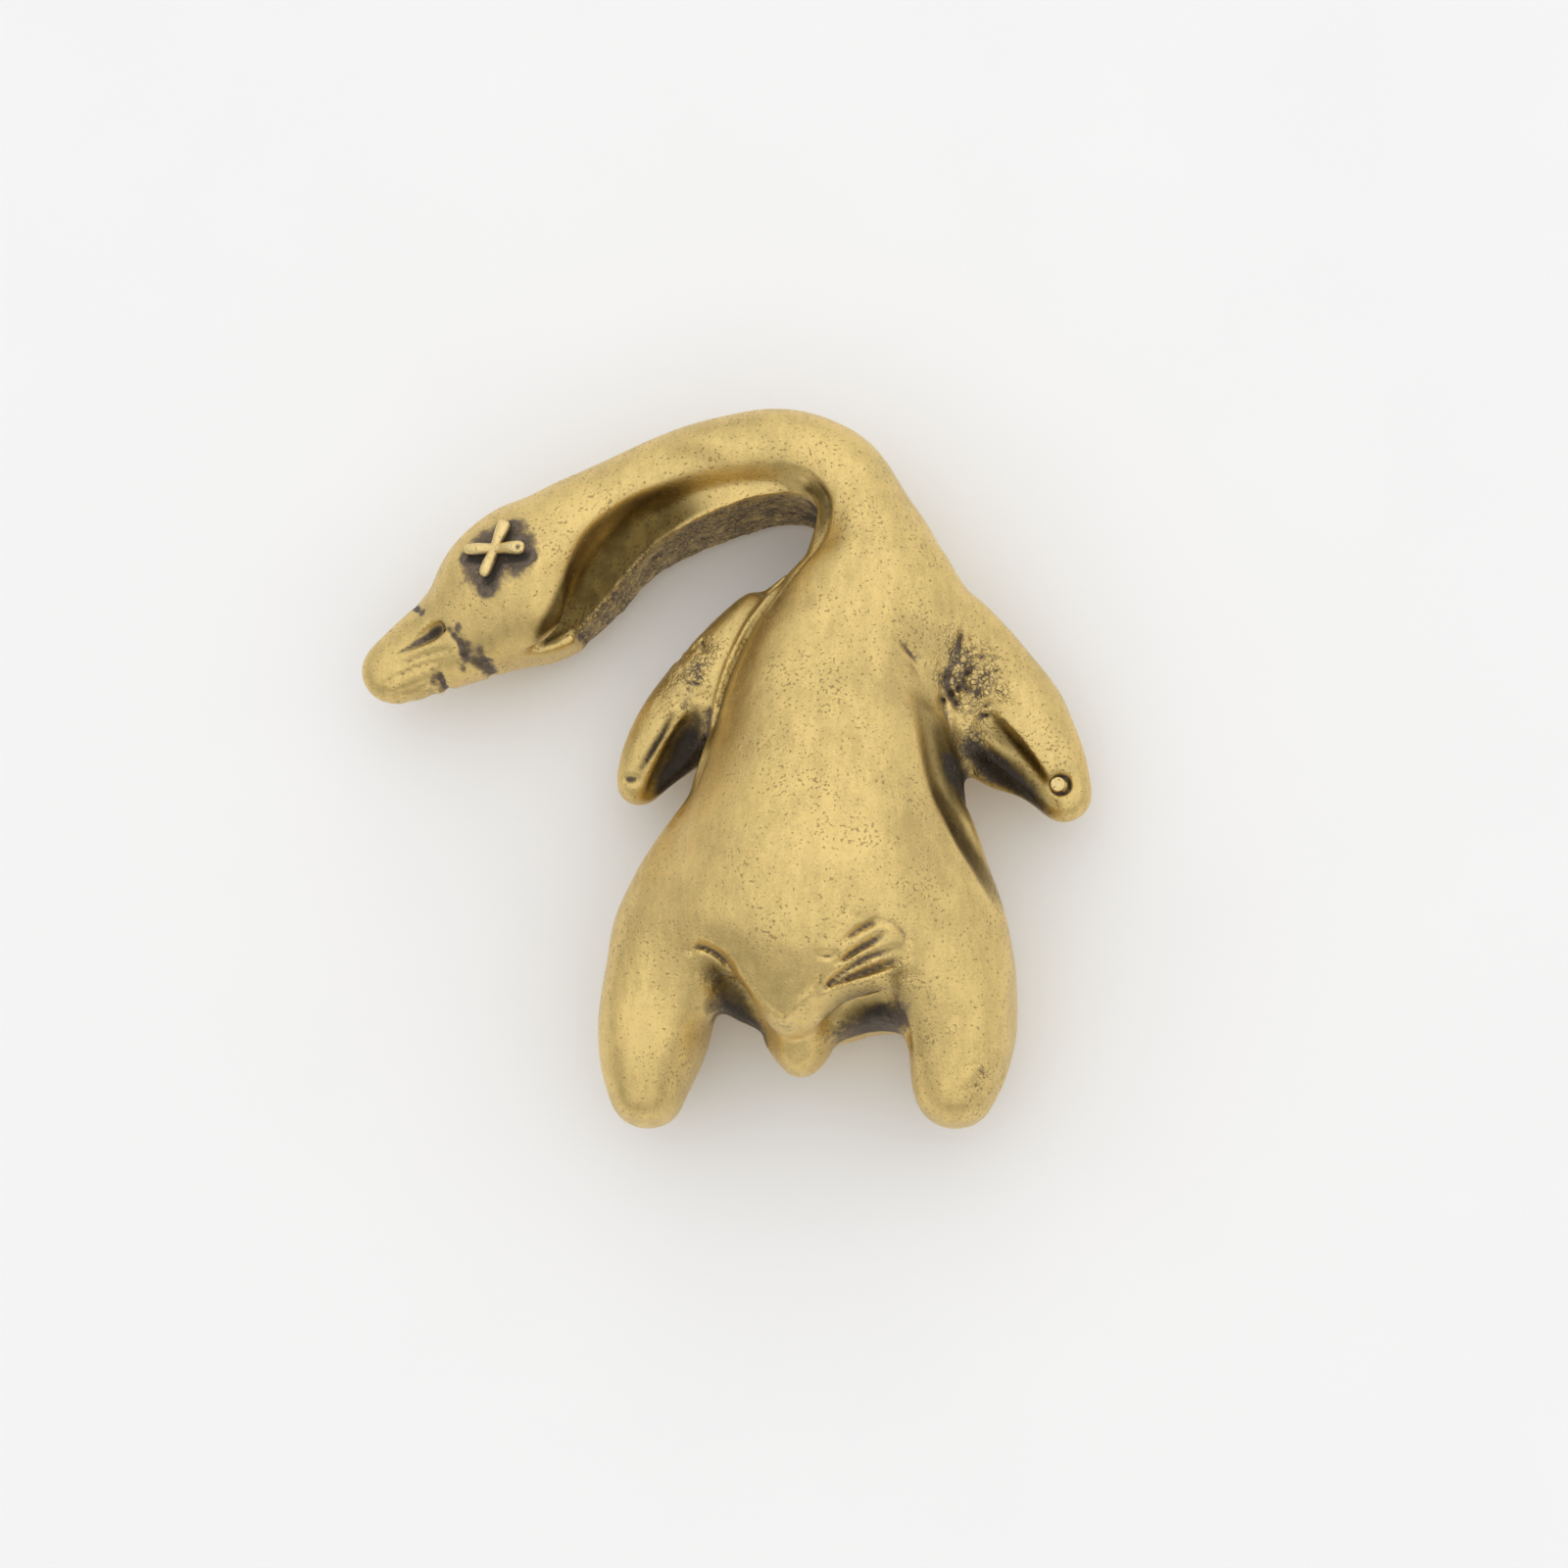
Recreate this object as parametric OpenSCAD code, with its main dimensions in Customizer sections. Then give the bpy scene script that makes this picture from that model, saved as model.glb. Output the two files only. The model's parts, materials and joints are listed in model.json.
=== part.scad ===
// Brass ornament of a plucked duck that lies on its back on a table, with its neck bent round
// to one side and its head laid down in profile.
// +Z is up from the table, +Y runs from the tail to the neck, and the neck bends towards -X.
// The origin is on the flat patch under the back, on which the ornament rests.
// Left and right are the duck's own: it lies on its back, so its left wing is on the +X side.

/* [Torso] */
// Length of the torso, from the neck joint to the rump
torso_length = 38.4; // [36:0.2:41]
// Width of the torso across the belly
torso_width = 23.4; // [22:0.2:25]
// Height of the belly above the table
torso_height = 20; // [18:0.5:22]
// Radius of the hollows between the belly, the tail and the legs
hollow_radius = 2; // [1.6:0.1:2.4]

/* [Neck] */
// How far the neck reaches sideways from the torso to the head
neck_reach = 20.4; // [19:0.2:22]
// How far the neck arches up past the top of the torso
neck_rise = 5; // [4.4:0.1:5.6]
// Width of the neck, seen from above
neck_width = 8.2; // [7.6:0.1:8.8]
// Height of the neck, from its underside to its top
neck_height = 11.2; // [10:0.1:12]

/* [Head] */
// Length of the head, from the neck joint to the root of the bill
head_length = 11.6; // [10.8:0.1:12.4]
// Depth of the head, from crown to throat
head_width = 12.2; // [11.4:0.1:13]
// Thickness of the head, from cheek to cheek
head_height = 12.2; // [11.2:0.1:13]
// Direction of the head in the plane of the table
head_angle = 215; // [212:0.5:218]

/* [Bill] */
// Length of the bill, from its root to where the tip rounds off
bill_length = 6.2; // [5.6:0.1:6.8]
// Depth of the bill at its root
bill_width = 8.2; // [7.4:0.1:9]
// Thickness of the bill at its root
bill_height = 8; // [7:0.1:9]
// How far the bill is turned up from the line of the head
bill_tilt = 6; // [4:0.5:8]
// How far the mouth lies towards the throat from the middle of the bill, at its root
mouth_drop = 0.4; // [0:0.1:0.8]

/* [Eyes] */
// Length of each bar of the crossed eyes
eye_length = 4.7; // [4:0.1:5.4]
// Thickness of each bar
eye_bar = 0.9; // [0.7:0.1:1.2]

/* [Wings] */
// Length of the left wing, from inside the shoulder to where the tip rounds off
left_wing_length = 19.8; // [18.6:0.2:21]
// Length of the right wing, from inside the shoulder to where the tip rounds off
right_wing_length = 17; // [16:0.2:18]
// Width of the left wing
left_wing_width = 7.8; // [7.2:0.1:8.4]
// Width of the right wing
right_wing_width = 6.4; // [5.8:0.1:7]
// Height of the wings
wing_height = 8; // [7:0.1:9]
// Angle of the left wing out from the torso
left_wing_angle = 36.5; // [34:0.5:39]
// Angle of the right wing out from the torso
right_wing_angle = 40; // [37:0.5:42]
// Diameter of the bone end that shows at the tip of the left wing
bone_diameter = 1.3; // [1:0.1:1.8]

/* [Legs] */
// Length of the left leg, from inside the hip to where its end rounds off
left_leg_length = 19.8; // [18.6:0.2:21]
// Length of the right leg, from inside the hip to where its end rounds off
right_leg_length = 19.2; // [18:0.2:20.4]
// Width of the left leg
left_leg_width = 9.1; // [8.5:0.1:9.7]
// Width of the right leg
right_leg_width = 8.3; // [7.7:0.1:8.9]
// Height of the legs
leg_height = 14; // [13:0.5:15]
// Angle of the left leg out from the torso
left_leg_angle = 7.5; // [5.5:0.5:9.5]
// Angle of the right leg out from the torso
right_leg_angle = 15.5; // [13.5:0.5:17.5]

/* [Tail] */
// Length of the tail, from inside the rump to where its tip rounds off
tail_length = 7.6; // [7:0.1:8.2]
// Width of the tail at the rump
tail_width = 8.2; // [7.6:0.1:8.8]
// Height of the tail at the rump
tail_height = 9; // [8:0.1:10]

/* [Skin creases] */
// Width of the creases that are cut beside the thighs
crease_width = 0.6; // [0.4:0.05:0.8]

/* [Hidden] */

sides = 32;        // points round each section, a multiple of four
steps = 3;         // rings between two stations of a table
dome_steps = 4;    // rings on a rounded end
bar_steps = 4;     // straight pieces in one bar of an eye
crease_steps = 4;  // straight pieces in one crease
ball_sides = 10;   // smoothness of the small balls that bars and creases are drawn with
table_z = 0;       // height of the table
brass = [0.80, 0.68, 0.38];
bright_brass = [0.90, 0.80, 0.52];

// How full each section is above and below its widest level: 2 is an ellipse, more is squarer.
body_fullness = [2.1, 3];
wing_fullness = [2.1, 2.5];
leg_fullness = [2.6, 2.5];
tail_fullness = [1.6, 2.2];

// The inner side of the bent neck is a wall that ends in a lip, with a channel above it.
wall_fullness = 2.4;       // how much squarer the section is at the lip
foot_fullness = 0.6;       // and at the foot of the wall
channel_share = 0.84;      // depth of the channel, as a share of the section's top above its widest level
channel_from_share = 0.08; // where the channel starts, from the middle line, as a share of the half width
channel_to_share = 0.62;   // and from where on it is full
lip_share = 0.10;          // how much the lip rises again, as the channel's depth is measured

// The neck joint: along and sideways on the torso, then shares of the neck's own size:
// half width, widest level, top above it, bottom below it, and how far the channel has formed.
joint_shares = [0.000, 0.121, 0.528, 0.732, 0.402, 0.643, 0.3];

// Stations of the torso, from the first after the neck joint to the rump:
// along, sideways, half width, widest level, top above it, bottom below it.
torso_shares = [
    [0.085, 0.162, 0.235, 0.405, 0.285, 0.400],
    [0.170, 0.129, 0.270, 0.390, 0.345, 0.400],
    [0.260, 0.080, 0.308, 0.375, 0.420, 0.385],
    [0.360, 0.033, 0.345, 0.360, 0.490, 0.380],
    [0.460, 0.030, 0.405, 0.350, 0.555, 0.380],
    [0.565, 0.020, 0.440, 0.350, 0.610, 0.380],
    [0.665, 0.000, 0.478, 0.350, 0.645, 0.380],
    [0.765, -0.020, 0.532, 0.350, 0.645, 0.380],
    [0.860, -0.042, 0.562, 0.345, 0.600, 0.370],
    [0.918, -0.062, 0.475, 0.335, 0.525, 0.350],
    [0.955, -0.074, 0.335, 0.320, 0.450, 0.320],
    [0.981, -0.082, 0.215, 0.310, 0.375, 0.285],
];
origin_share = 0.515;      // where the origin lies along the torso

// The point that the belly ends in above the tail: along, sideways, half width, widest level,
// top above it, bottom below it.
belly_point_shares = [
    [0.800, -0.020, 0.220, 0.480, 0.440, 0.300],
    [0.890, -0.045, 0.190, 0.460, 0.385, 0.300],
    [0.955, -0.072, 0.115, 0.450, 0.260, 0.240],
    [0.988, -0.088, 0.050, 0.440, 0.160, 0.160],
];
belly_tip_share = 0.010;   // how far the point rounds off, as a share of the length of the torso
rump_dome_share = 0.014;   // how far the rump rounds off past the last station
round_end = 1;             // how a limb's end rounds off: 1 is a ball
blunt_end = 0.4;           // and the rump's, which is flatter

// Stations of the neck, from the first after the torso to the head joint: sideways, up past the torso,
// half width, widest level, top above it, bottom below it, and how far the channel has formed.
neck_shares = [
    [0.095, 0.63, 0.530, 0.73, 0.40, 0.64, 0.75],
    [0.262, 0.99, 0.515, 0.72, 0.39, 0.63, 0.90],
    [0.431, 0.97, 0.505, 0.71, 0.38, 0.62, 1.00],
    [0.624, 0.79, 0.500, 0.70, 0.38, 0.61, 1.10],
    [0.838, 0.37, 0.530, 0.68, 0.39, 0.60, 1.25],
    [1.000, -0.04, 0.620, 0.67, 0.42, 0.59, 1.05],
];

// Stations of the head, from the first after the neck to the root of the bill: along, towards the crown,
// half width, widest level, top above it, bottom below it, and how far the channel has formed.
head_shares = [
    [0.240, -0.018, 0.468, 0.610, 0.460, 0.550, 0.55],
    [0.470, -0.002, 0.495, 0.600, 0.485, 0.545, 0.08],
    [0.740, 0.026, 0.455, 0.585, 0.430, 0.500, 0],
    [1.000, 0.010, 0.340, 0.565, 0.330, 0.405, 0],
];

// Stations of the bill, from the first after its root to where the tip starts to round off:
// along, half width, widest level, top above it, bottom below it.
bill_shares = [
    [0.330, 0.440, 0.82, 0.400, 0.450],
    [0.680, 0.400, 0.78, 0.320, 0.380],
    [1.000, 0.345, 0.75, 0.250, 0.300],
];
bill_tip_share = 0.36;     // how far the tip rounds off, as a share of the width of the bill

// Stations of the wings: along, bow outwards, half width, widest level, top above it, bottom below it.
// The left wing has a web of skin in the armpit.
left_wing_shares = [
    [0.00, 0.000, 0.43, 0.95, 0.36, 0.50],
    [0.22, 0.002, 0.54, 0.88, 0.46, 0.56],
    [0.46, 0.000, 0.61, 0.80, 0.46, 0.56],
    [0.70, 0.006, 0.59, 0.74, 0.40, 0.48],
    [0.86, 0.026, 0.42, 0.70, 0.33, 0.40],
    [1.00, 0.010, 0.28, 0.68, 0.26, 0.30],
];
right_wing_shares = [
    [0.00, 0.000, 0.43, 0.95, 0.36, 0.50],
    [0.22, 0.005, 0.53, 0.88, 0.46, 0.56],
    [0.46, 0.020, 0.56, 0.80, 0.46, 0.56],
    [0.70, 0.035, 0.50, 0.74, 0.40, 0.48],
    [0.88, 0.035, 0.38, 0.70, 0.33, 0.40],
    [1.00, 0.010, 0.28, 0.68, 0.26, 0.30],
];
wing_tip_share = 0.26;     // how far the tip rounds off, as a share of the width of the wing

// Stations of a leg: along, bow outwards, half width, widest level, top above it, bottom below it.
leg_shares = [
    [0.00, 0.000, 0.420, 0.46, 0.34, 0.38],
    [0.15, 0.030, 0.460, 0.46, 0.42, 0.41],
    [0.33, 0.060, 0.480, 0.46, 0.49, 0.42],
    [0.52, 0.070, 0.495, 0.47, 0.50, 0.43],
    [0.75, 0.047, 0.480, 0.49, 0.45, 0.43],
    [0.91, 0.023, 0.400, 0.51, 0.36, 0.38],
    [1.00, 0.000, 0.320, 0.52, 0.28, 0.30],
];
leg_tip_share = 0.26;      // how far the end rounds off, as a share of the width of the leg

// Stations of the tail: along, half width, widest level, top above it, bottom below it.
tail_shares = [
    [0.00, 0.42, 0.66, 0.44, 0.46],
    [0.40, 0.46, 0.68, 0.50, 0.46],
    [0.70, 0.41, 0.70, 0.48, 0.44],
    [1.00, 0.17, 0.76, 0.30, 0.30],
];
tail_tip_share = 0.10;     // how far the tip rounds off, as a share of the width of the tail
tail_turn = -3;            // how far the tail points from the line of the torso, in degrees

// Where the limbs start inside the torso, as shares of its length and width.
left_wing_root_share = [0.130, 0.255];
right_wing_root_share = [0.163, -0.130];
left_leg_root_share = [0.616, 0.292];
right_leg_root_share = [0.645, -0.333];
tail_root_share = [0.870, -0.060];

// The hollows, as the two ends of a round cut: along and across the torso, and height.
hollow_shares = [
    [[0.915, -0.270, 0.64], [1.020, -0.150, 0.52]],
    [[0.925, 0.235, 0.64], [1.010, 0.045, 0.52]],
];

// The creases beside the thighs, as the two ends of each cut: along and across the torso.
crease_shares = [
    [[0.930, 0.040], [0.870, 0.265]],
    [[0.905, 0.065], [0.843, 0.215]],
    [[0.868, 0.085], [0.822, 0.190]],
    [[0.840, 0.090], [0.805, 0.145]],
    [[0.866, -0.398], [0.854, -0.362]],
    [[0.854, -0.362], [0.880, -0.302]],
];

// The middle of the eyes, along the head from the neck joint and out towards the crown.
eye_share = [0.565, 0.173];
eye_turns = [140, 214];    // directions of the two bars, in degrees from the line of the head
eye_sink_share = 0.15;     // how far the middle of a bar sinks under the skin, as a share of its width

// The bone end: where it is along the left wing, how long it is and how far it stands out of the skin.
bone_share = 0.965;
bone_length_share = 1.2;
bone_lift_share = 0.12;

function swell(s, e) = sign(s) * pow(abs(s), 2 / e);
function unit(v) = v / norm(v);
function flat(v) = [v[0], v[1]];
function turned(angle) = [cos(angle), sin(angle)];
function left_of(way) = [-way[1], way[0]];
function reversed(list) = [for (i = [len(list) - 1:-1:0]) list[i]];
function mean(list) = [for (v = list) 1] * list / len(list);

// A smooth curve through the rows of a table.
function between(rows, i, t) =
    let (
        a = rows[max(i - 1, 0)],
        b = rows[i],
        c = rows[i + 1],
        d = rows[min(i + 2, len(rows) - 1)]
    )
    b + (c - a) * t / 2 + (2 * a - 5 * b + 4 * c - d) * pow(t, 2) / 2
        + (3 * b - a - 3 * c + d) * pow(t, 3) / 2;
function curve(rows) = [
    for (i = [0:len(rows) - 2], k = [0:steps - 1]) between(rows, i, k / steps),
    rows[len(rows) - 1],
];

// The direction of the middle line at each row.
function ways(rows) = [
    for (i = [0:len(rows) - 1])
        unit(flat(rows[min(i + 1, len(rows) - 1)]) - flat(rows[max(i - 1, 0)]))
];

// How far a section bulges at a share of its half width, and what the channel takes away of that.
function arch(share, e) = pow(max(1 - pow(share, e), 0), 1 / e);
function eased(t) = let (s = min(max(t, 0), 1)) pow(s, 2) * (3 - 2 * s);
function channel(share) =
    channel_share * eased((share - channel_from_share) / (channel_to_share - channel_from_share))
        - lip_share * eased((share - channel_to_share) / (1 - channel_to_share));
function formed(row, inner) = inner && len(row) > 6 ? row[6] : 0;

// One section, square to the middle line. A row is x, y, half width, widest level, top, bottom and,
// on the bent neck, how far the channel on the inner side has formed.
function ring(row, way, fullness) = [
    for (k = [0:sides - 1])
        let (
            a = 360 * k / sides,
            up = k < sides / 2,
            e = up ? fullness[0] : fullness[1],
            share = swell(cos(a), e),
            f = formed(row, share > 0),
            across = left_of(way) * row[2] * share,
            bulge = arch(abs(share), e + f * (up ? wall_fullness : foot_fullness)),
            taken = up ? f * channel(share) : 0,
            z = row[3] + (up ? row[4] : -row[5]) * bulge * (1 - taken)
        )
        [row[0] + across[0], row[1] + across[1], max(z, table_z)]
];

// The rows of a rounded end past a row, which reaches out by the given length.
function dome_rows(row, way, reach, shape = round_end) = [
    for (k = [1:dome_steps])
        let (
            a = 90 * k / (dome_steps + 0.5),
            at = flat(row) + way * reach * sin(a),
            c = pow(cos(a), shape)
        )
        [at[0], at[1], row[2] * c, row[3], row[4] * c, row[5] * c]
];

// A limb with a flat root and a rounded end.
function limb_skin(rows, reach, fullness) = lined_skin(curve(rows), reach, fullness);
function lined_skin(line, reach, fullness) =
    let (
        along = ways(line),
        last = len(line) - 1,
        tip = dome_rows(line[last], along[last], reach)
    )
    [
        for (i = [0:last]) ring(line[i], along[i], fullness),
        for (r = tip) ring(r, along[last], fullness),
    ];

// A closed solid through a list of rings.
module loft(skin) {
    n = len(skin);
    m = len(skin[0]);
    first = n * m;
    last = first + 1;
    polyhedron(
        points = [for (r = skin) each r, mean(skin[0]), mean(skin[n - 1])],
        faces = [
            for (j = [0:n - 2], i = [0:m - 1])
                let (a = j * m + i, b = j * m + (i + 1) % m)
                each [[a, b + m, b], [a, a + m, b + m]],
            for (i = [0:m - 1]) [first, i, (i + 1) % m],
            for (i = [0:m - 1]) [last, (n - 1) * m + (i + 1) % m, (n - 1) * m + i],
        ],
        convexity = 6
    );
}

// The middle line of the whole duck, from the rump through the neck to the bill, in rows.
function torso_at(share) = [
    share[1] * torso_width, (origin_share - share[0]) * torso_length,
];
function torso_row(s) =
    let (at = torso_at(s))
    [at[0], at[1], s[2] * torso_width, s[3] * torso_height, s[4] * torso_height, s[5] * torso_height];
torso_rows = [for (s = reversed(torso_shares)) [each torso_row(s), 0]];
neck_start = torso_at(joint_shares);
neck_rows = [
    [
        neck_start[0], neck_start[1],
        joint_shares[2] * neck_width, joint_shares[3] * neck_height,
        joint_shares[4] * neck_height, joint_shares[5] * neck_height, joint_shares[6],
    ],
    for (s = neck_shares) [
        neck_start[0] - s[0] * neck_reach, neck_start[1] + s[1] * neck_rise,
        s[2] * neck_width, s[3] * neck_height, s[4] * neck_height, s[5] * neck_height, s[6],
    ]
];
head_way = turned(head_angle);
head_start = flat(neck_rows[len(neck_rows) - 1]);
head_rows = [
    for (s = head_shares)
        let (at = head_start + head_way * s[0] * head_length - left_of(head_way) * s[1] * head_width)
        [at[0], at[1], s[2] * head_width, s[3] * head_height, s[4] * head_height, s[5] * head_height, s[6]]
];
bill_way = turned(head_angle - bill_tilt);
bill_start = flat(head_rows[len(head_rows) - 1]);
bill_rows = [
    for (s = bill_shares)
        let (at = bill_start + bill_way * s[0] * bill_length)
        [at[0], at[1], s[1] * bill_width, s[2] * bill_height, s[3] * bill_height, s[4] * bill_height, 0]
];

spine = curve(concat(torso_rows, neck_rows, head_rows, bill_rows));
spine_ways = ways(spine);
neck_first = steps * len(torso_rows);
head_first = neck_first + steps * len(neck_shares);
bill_first = head_first + steps * len(head_rows);
bill_last = bill_first + steps * len(bill_rows);
function stretch(a, b) = [
    for (i = [a:b]) ring(spine[i], spine_ways[i], body_fullness)
];

// The height of the torso's and the head's upper skin above a place on their middle line.
function skin_z(row, off) =
    row[3] + row[4] * pow(max(1 - pow(min(abs(off) / row[2], 1), body_fullness[0]), 0), 1 / body_fullness[0]);
function under_z(row, off) =
    row[3] - row[5] * pow(max(1 - pow(min(abs(off) / row[2], 1), body_fullness[1]), 0), 1 / body_fullness[1]);
function nearest(at, line, a, b) =
    let (gaps = [for (i = [a:b]) norm(flat(line[i]) - at)])
    a + search(min(gaps), gaps)[0];
function off_line(at, line, along, i) = (at - flat(line[i])) * left_of(along[i]);

rump_rows = reversed(dome_rows(spine[0], -spine_ways[0], rump_dome_share * torso_length, blunt_end));
belly_point_line = curve([for (s = belly_point_shares) torso_row(s)]);
belly_point_ways = ways(belly_point_line);
module torso_solid() {
    loft(concat(
        [for (r = rump_rows) ring(r, spine_ways[0], body_fullness)],
        stretch(0, neck_first)
    ));
    loft(lined_skin(belly_point_line, belly_tip_share * torso_length, body_fullness));
}

// Limbs: side is 1 for the duck's left, at +X, and -1 for its right.
function limb_row(root, way, side, length, width, height, s) =
    let (at = root + way * s[0] * length - left_of(way) * -side * s[1] * length)
    [at[0], at[1], s[2] * width, s[3] * height, s[4] * height, s[5] * height];

function limb_way(side, angle) = turned(side > 0 ? angle - 90 : -90 - angle);
function limb_rows(shares, side, root, angle, length, width, height) = [
    for (s = shares) limb_row(root, limb_way(side, angle), side, length, width, height, s)
];
left_wing_rows = limb_rows(
    left_wing_shares, 1, torso_at(left_wing_root_share),
    left_wing_angle, left_wing_length, left_wing_width, wing_height
);
right_wing_rows = limb_rows(
    right_wing_shares, -1, torso_at(right_wing_root_share),
    right_wing_angle, right_wing_length, right_wing_width, wing_height
);
module left_wing_solid() loft(limb_skin(left_wing_rows, wing_tip_share * left_wing_width, wing_fullness));
module right_wing_solid() loft(limb_skin(right_wing_rows, wing_tip_share * right_wing_width, wing_fullness));

left_leg_rows = limb_rows(
    leg_shares, 1, torso_at(left_leg_root_share),
    left_leg_angle, left_leg_length, left_leg_width, leg_height
);
right_leg_rows = limb_rows(
    leg_shares, -1, torso_at(right_leg_root_share),
    right_leg_angle, right_leg_length, right_leg_width, leg_height
);
module left_leg_solid() loft(limb_skin(left_leg_rows, leg_tip_share * left_leg_width, leg_fullness));
module right_leg_solid() loft(limb_skin(right_leg_rows, leg_tip_share * right_leg_width, leg_fullness));

tail_way = turned(tail_turn - 90);
tail_rows = [
    for (s = tail_shares)
        let (at = torso_at(tail_root_share) + tail_way * s[0] * tail_length)
        [at[0], at[1], s[1] * tail_width, s[2] * tail_height, s[3] * tail_height, s[4] * tail_height]
];
module tail_solid() loft(limb_skin(tail_rows, tail_tip_share * tail_width, tail_fullness));

// A round bar between two points.
module bar(a, b, width) {
    hull() {
        translate(a) sphere(d = width, $fn = ball_sides);
        translate(b) sphere(d = width, $fn = ball_sides);
    }
}

// A place on the torso's upper skin, from its share along and across.
function line_z(at, line, along, last) =
    let (i = nearest(at, line, 0, last))
    skin_z(line[i], off_line(at, line, along, i));
function on_torso(share) =
    let (
        at = torso_at(share),
        point_z = line_z(at, belly_point_line, belly_point_ways, len(belly_point_line) - 1)
    )
    [at[0], at[1], max(line_z(at, spine, spine_ways, neck_first), point_z)];

module creases() {
    for (s = crease_shares, k = [0:crease_steps - 1])
        bar(
            on_torso(s[0] + (s[1] - s[0]) * k / crease_steps),
            on_torso(s[0] + (s[1] - s[0]) * (k + 1) / crease_steps),
            crease_width
        );
}

module hollows() {
    for (s = hollow_shares)
        bar(
            concat(torso_at(s[0]), s[0][2] * torso_height),
            concat(torso_at(s[1]), s[1][2] * torso_height),
            2 * hollow_radius
        );
}

module torso() {
    color(brass) difference() {
        torso_solid();
        creases();
        hollows();
    }
}

// A limb ends at the torso's skin.
module limb() {
    color(brass) difference() {
        children();
        torso_solid();
    }
}

module neck() {
    color(brass) loft(stretch(neck_first, head_first));
}

// The two crossed bars of an eye, which follow the skin. top picks the upper or the lower cheek.
eye_middle = head_start + head_way * eye_share[0] * head_length
    - left_of(head_way) * eye_share[1] * head_width;
function on_cheek(at, top) =
    let (
        i = nearest(at, spine, head_first, bill_first),
        off = off_line(at, spine, spine_ways, i),
        sink = eye_sink_share * eye_bar
    )
    [at[0], at[1], top ? skin_z(spine[i], off) - sink : under_z(spine[i], off) + sink];
function bar_point(turn, k, top) =
    on_cheek(eye_middle + turned(head_angle + turn) * (k / bar_steps - 0.5) * (eye_length - eye_bar), top);
module eye(top) {
    for (turn = eye_turns, k = [0:bar_steps - 1])
        bar(bar_point(turn, k, top), bar_point(turn, k + 1, top), eye_bar);
}

module head() {
    color(brass) difference() {
        loft(stretch(head_first, bill_first));
        eye(true);
        eye(false);
    }
}

module left_eye() {
    color(bright_brass) eye(true);
}

module right_eye() {
    color(bright_brass) eye(false);
}

// One half of a section of the bill, from the mouth out: side is 1 towards the throat, -1 towards the crown.
function half_ring(row, way, side) = [
    for (k = [0:sides / 2])
        let (
            a = 360 * k / sides - 90 * side,
            e = sin(a) > 0 ? body_fullness[0] : body_fullness[1],
            drop = mouth_drop * row[2] / (bill_width / 2),
            off = drop + (row[2] - side * drop) * side * swell(abs(cos(a)), e),
            across = left_of(way) * off,
            z = row[3] + (sin(a) > 0 ? row[4] : row[5]) * swell(sin(a), e)
        )
        [row[0] + across[0], row[1] + across[1], z]
];
module bill_half(side) {
    way = spine_ways[bill_last];
    tip = dome_rows(spine[bill_last], way, bill_tip_share * bill_width);
    loft([
        for (i = [bill_first:bill_last]) half_ring(spine[i], spine_ways[i], side),
        for (r = tip) half_ring(r, way, side),
    ]);
}

module upper_bill() {
    color(brass) bill_half(-1);
}

module lower_bill() {
    color(brass) bill_half(1);
}

// The bone end, a short peg let into the tip of the left wing.
left_wing_line = curve(left_wing_rows);
bone_row = left_wing_line[round(bone_share * (len(left_wing_line) - 1))];
bone_length = bone_length_share * bone_diameter;
module bone() {
    translate([bone_row[0], bone_row[1], skin_z(bone_row, 0) + bone_lift_share * bone_diameter - bone_length])
        cylinder(d = bone_diameter, h = bone_length, $fn = sides);
}

module left_wing() {
    limb() difference() {
        left_wing_solid();
        bone();
    }
}

module left_wing_bone() {
    color(bright_brass) bone();
}

module right_wing() {
    limb() right_wing_solid();
}

module left_leg() {
    limb() left_leg_solid();
}

module right_leg() {
    limb() right_leg_solid();
}

module tail() {
    limb() tail_solid();
}

torso();
neck();
head();
upper_bill();
lower_bill();
left_eye();
right_eye();
left_wing();
left_wing_bone();
right_wing();
left_leg();
right_leg();
tail();
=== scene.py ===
import json
import math
import bpy
import numpy as np
import openvdb
from mathutils import Matrix, Vector

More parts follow.
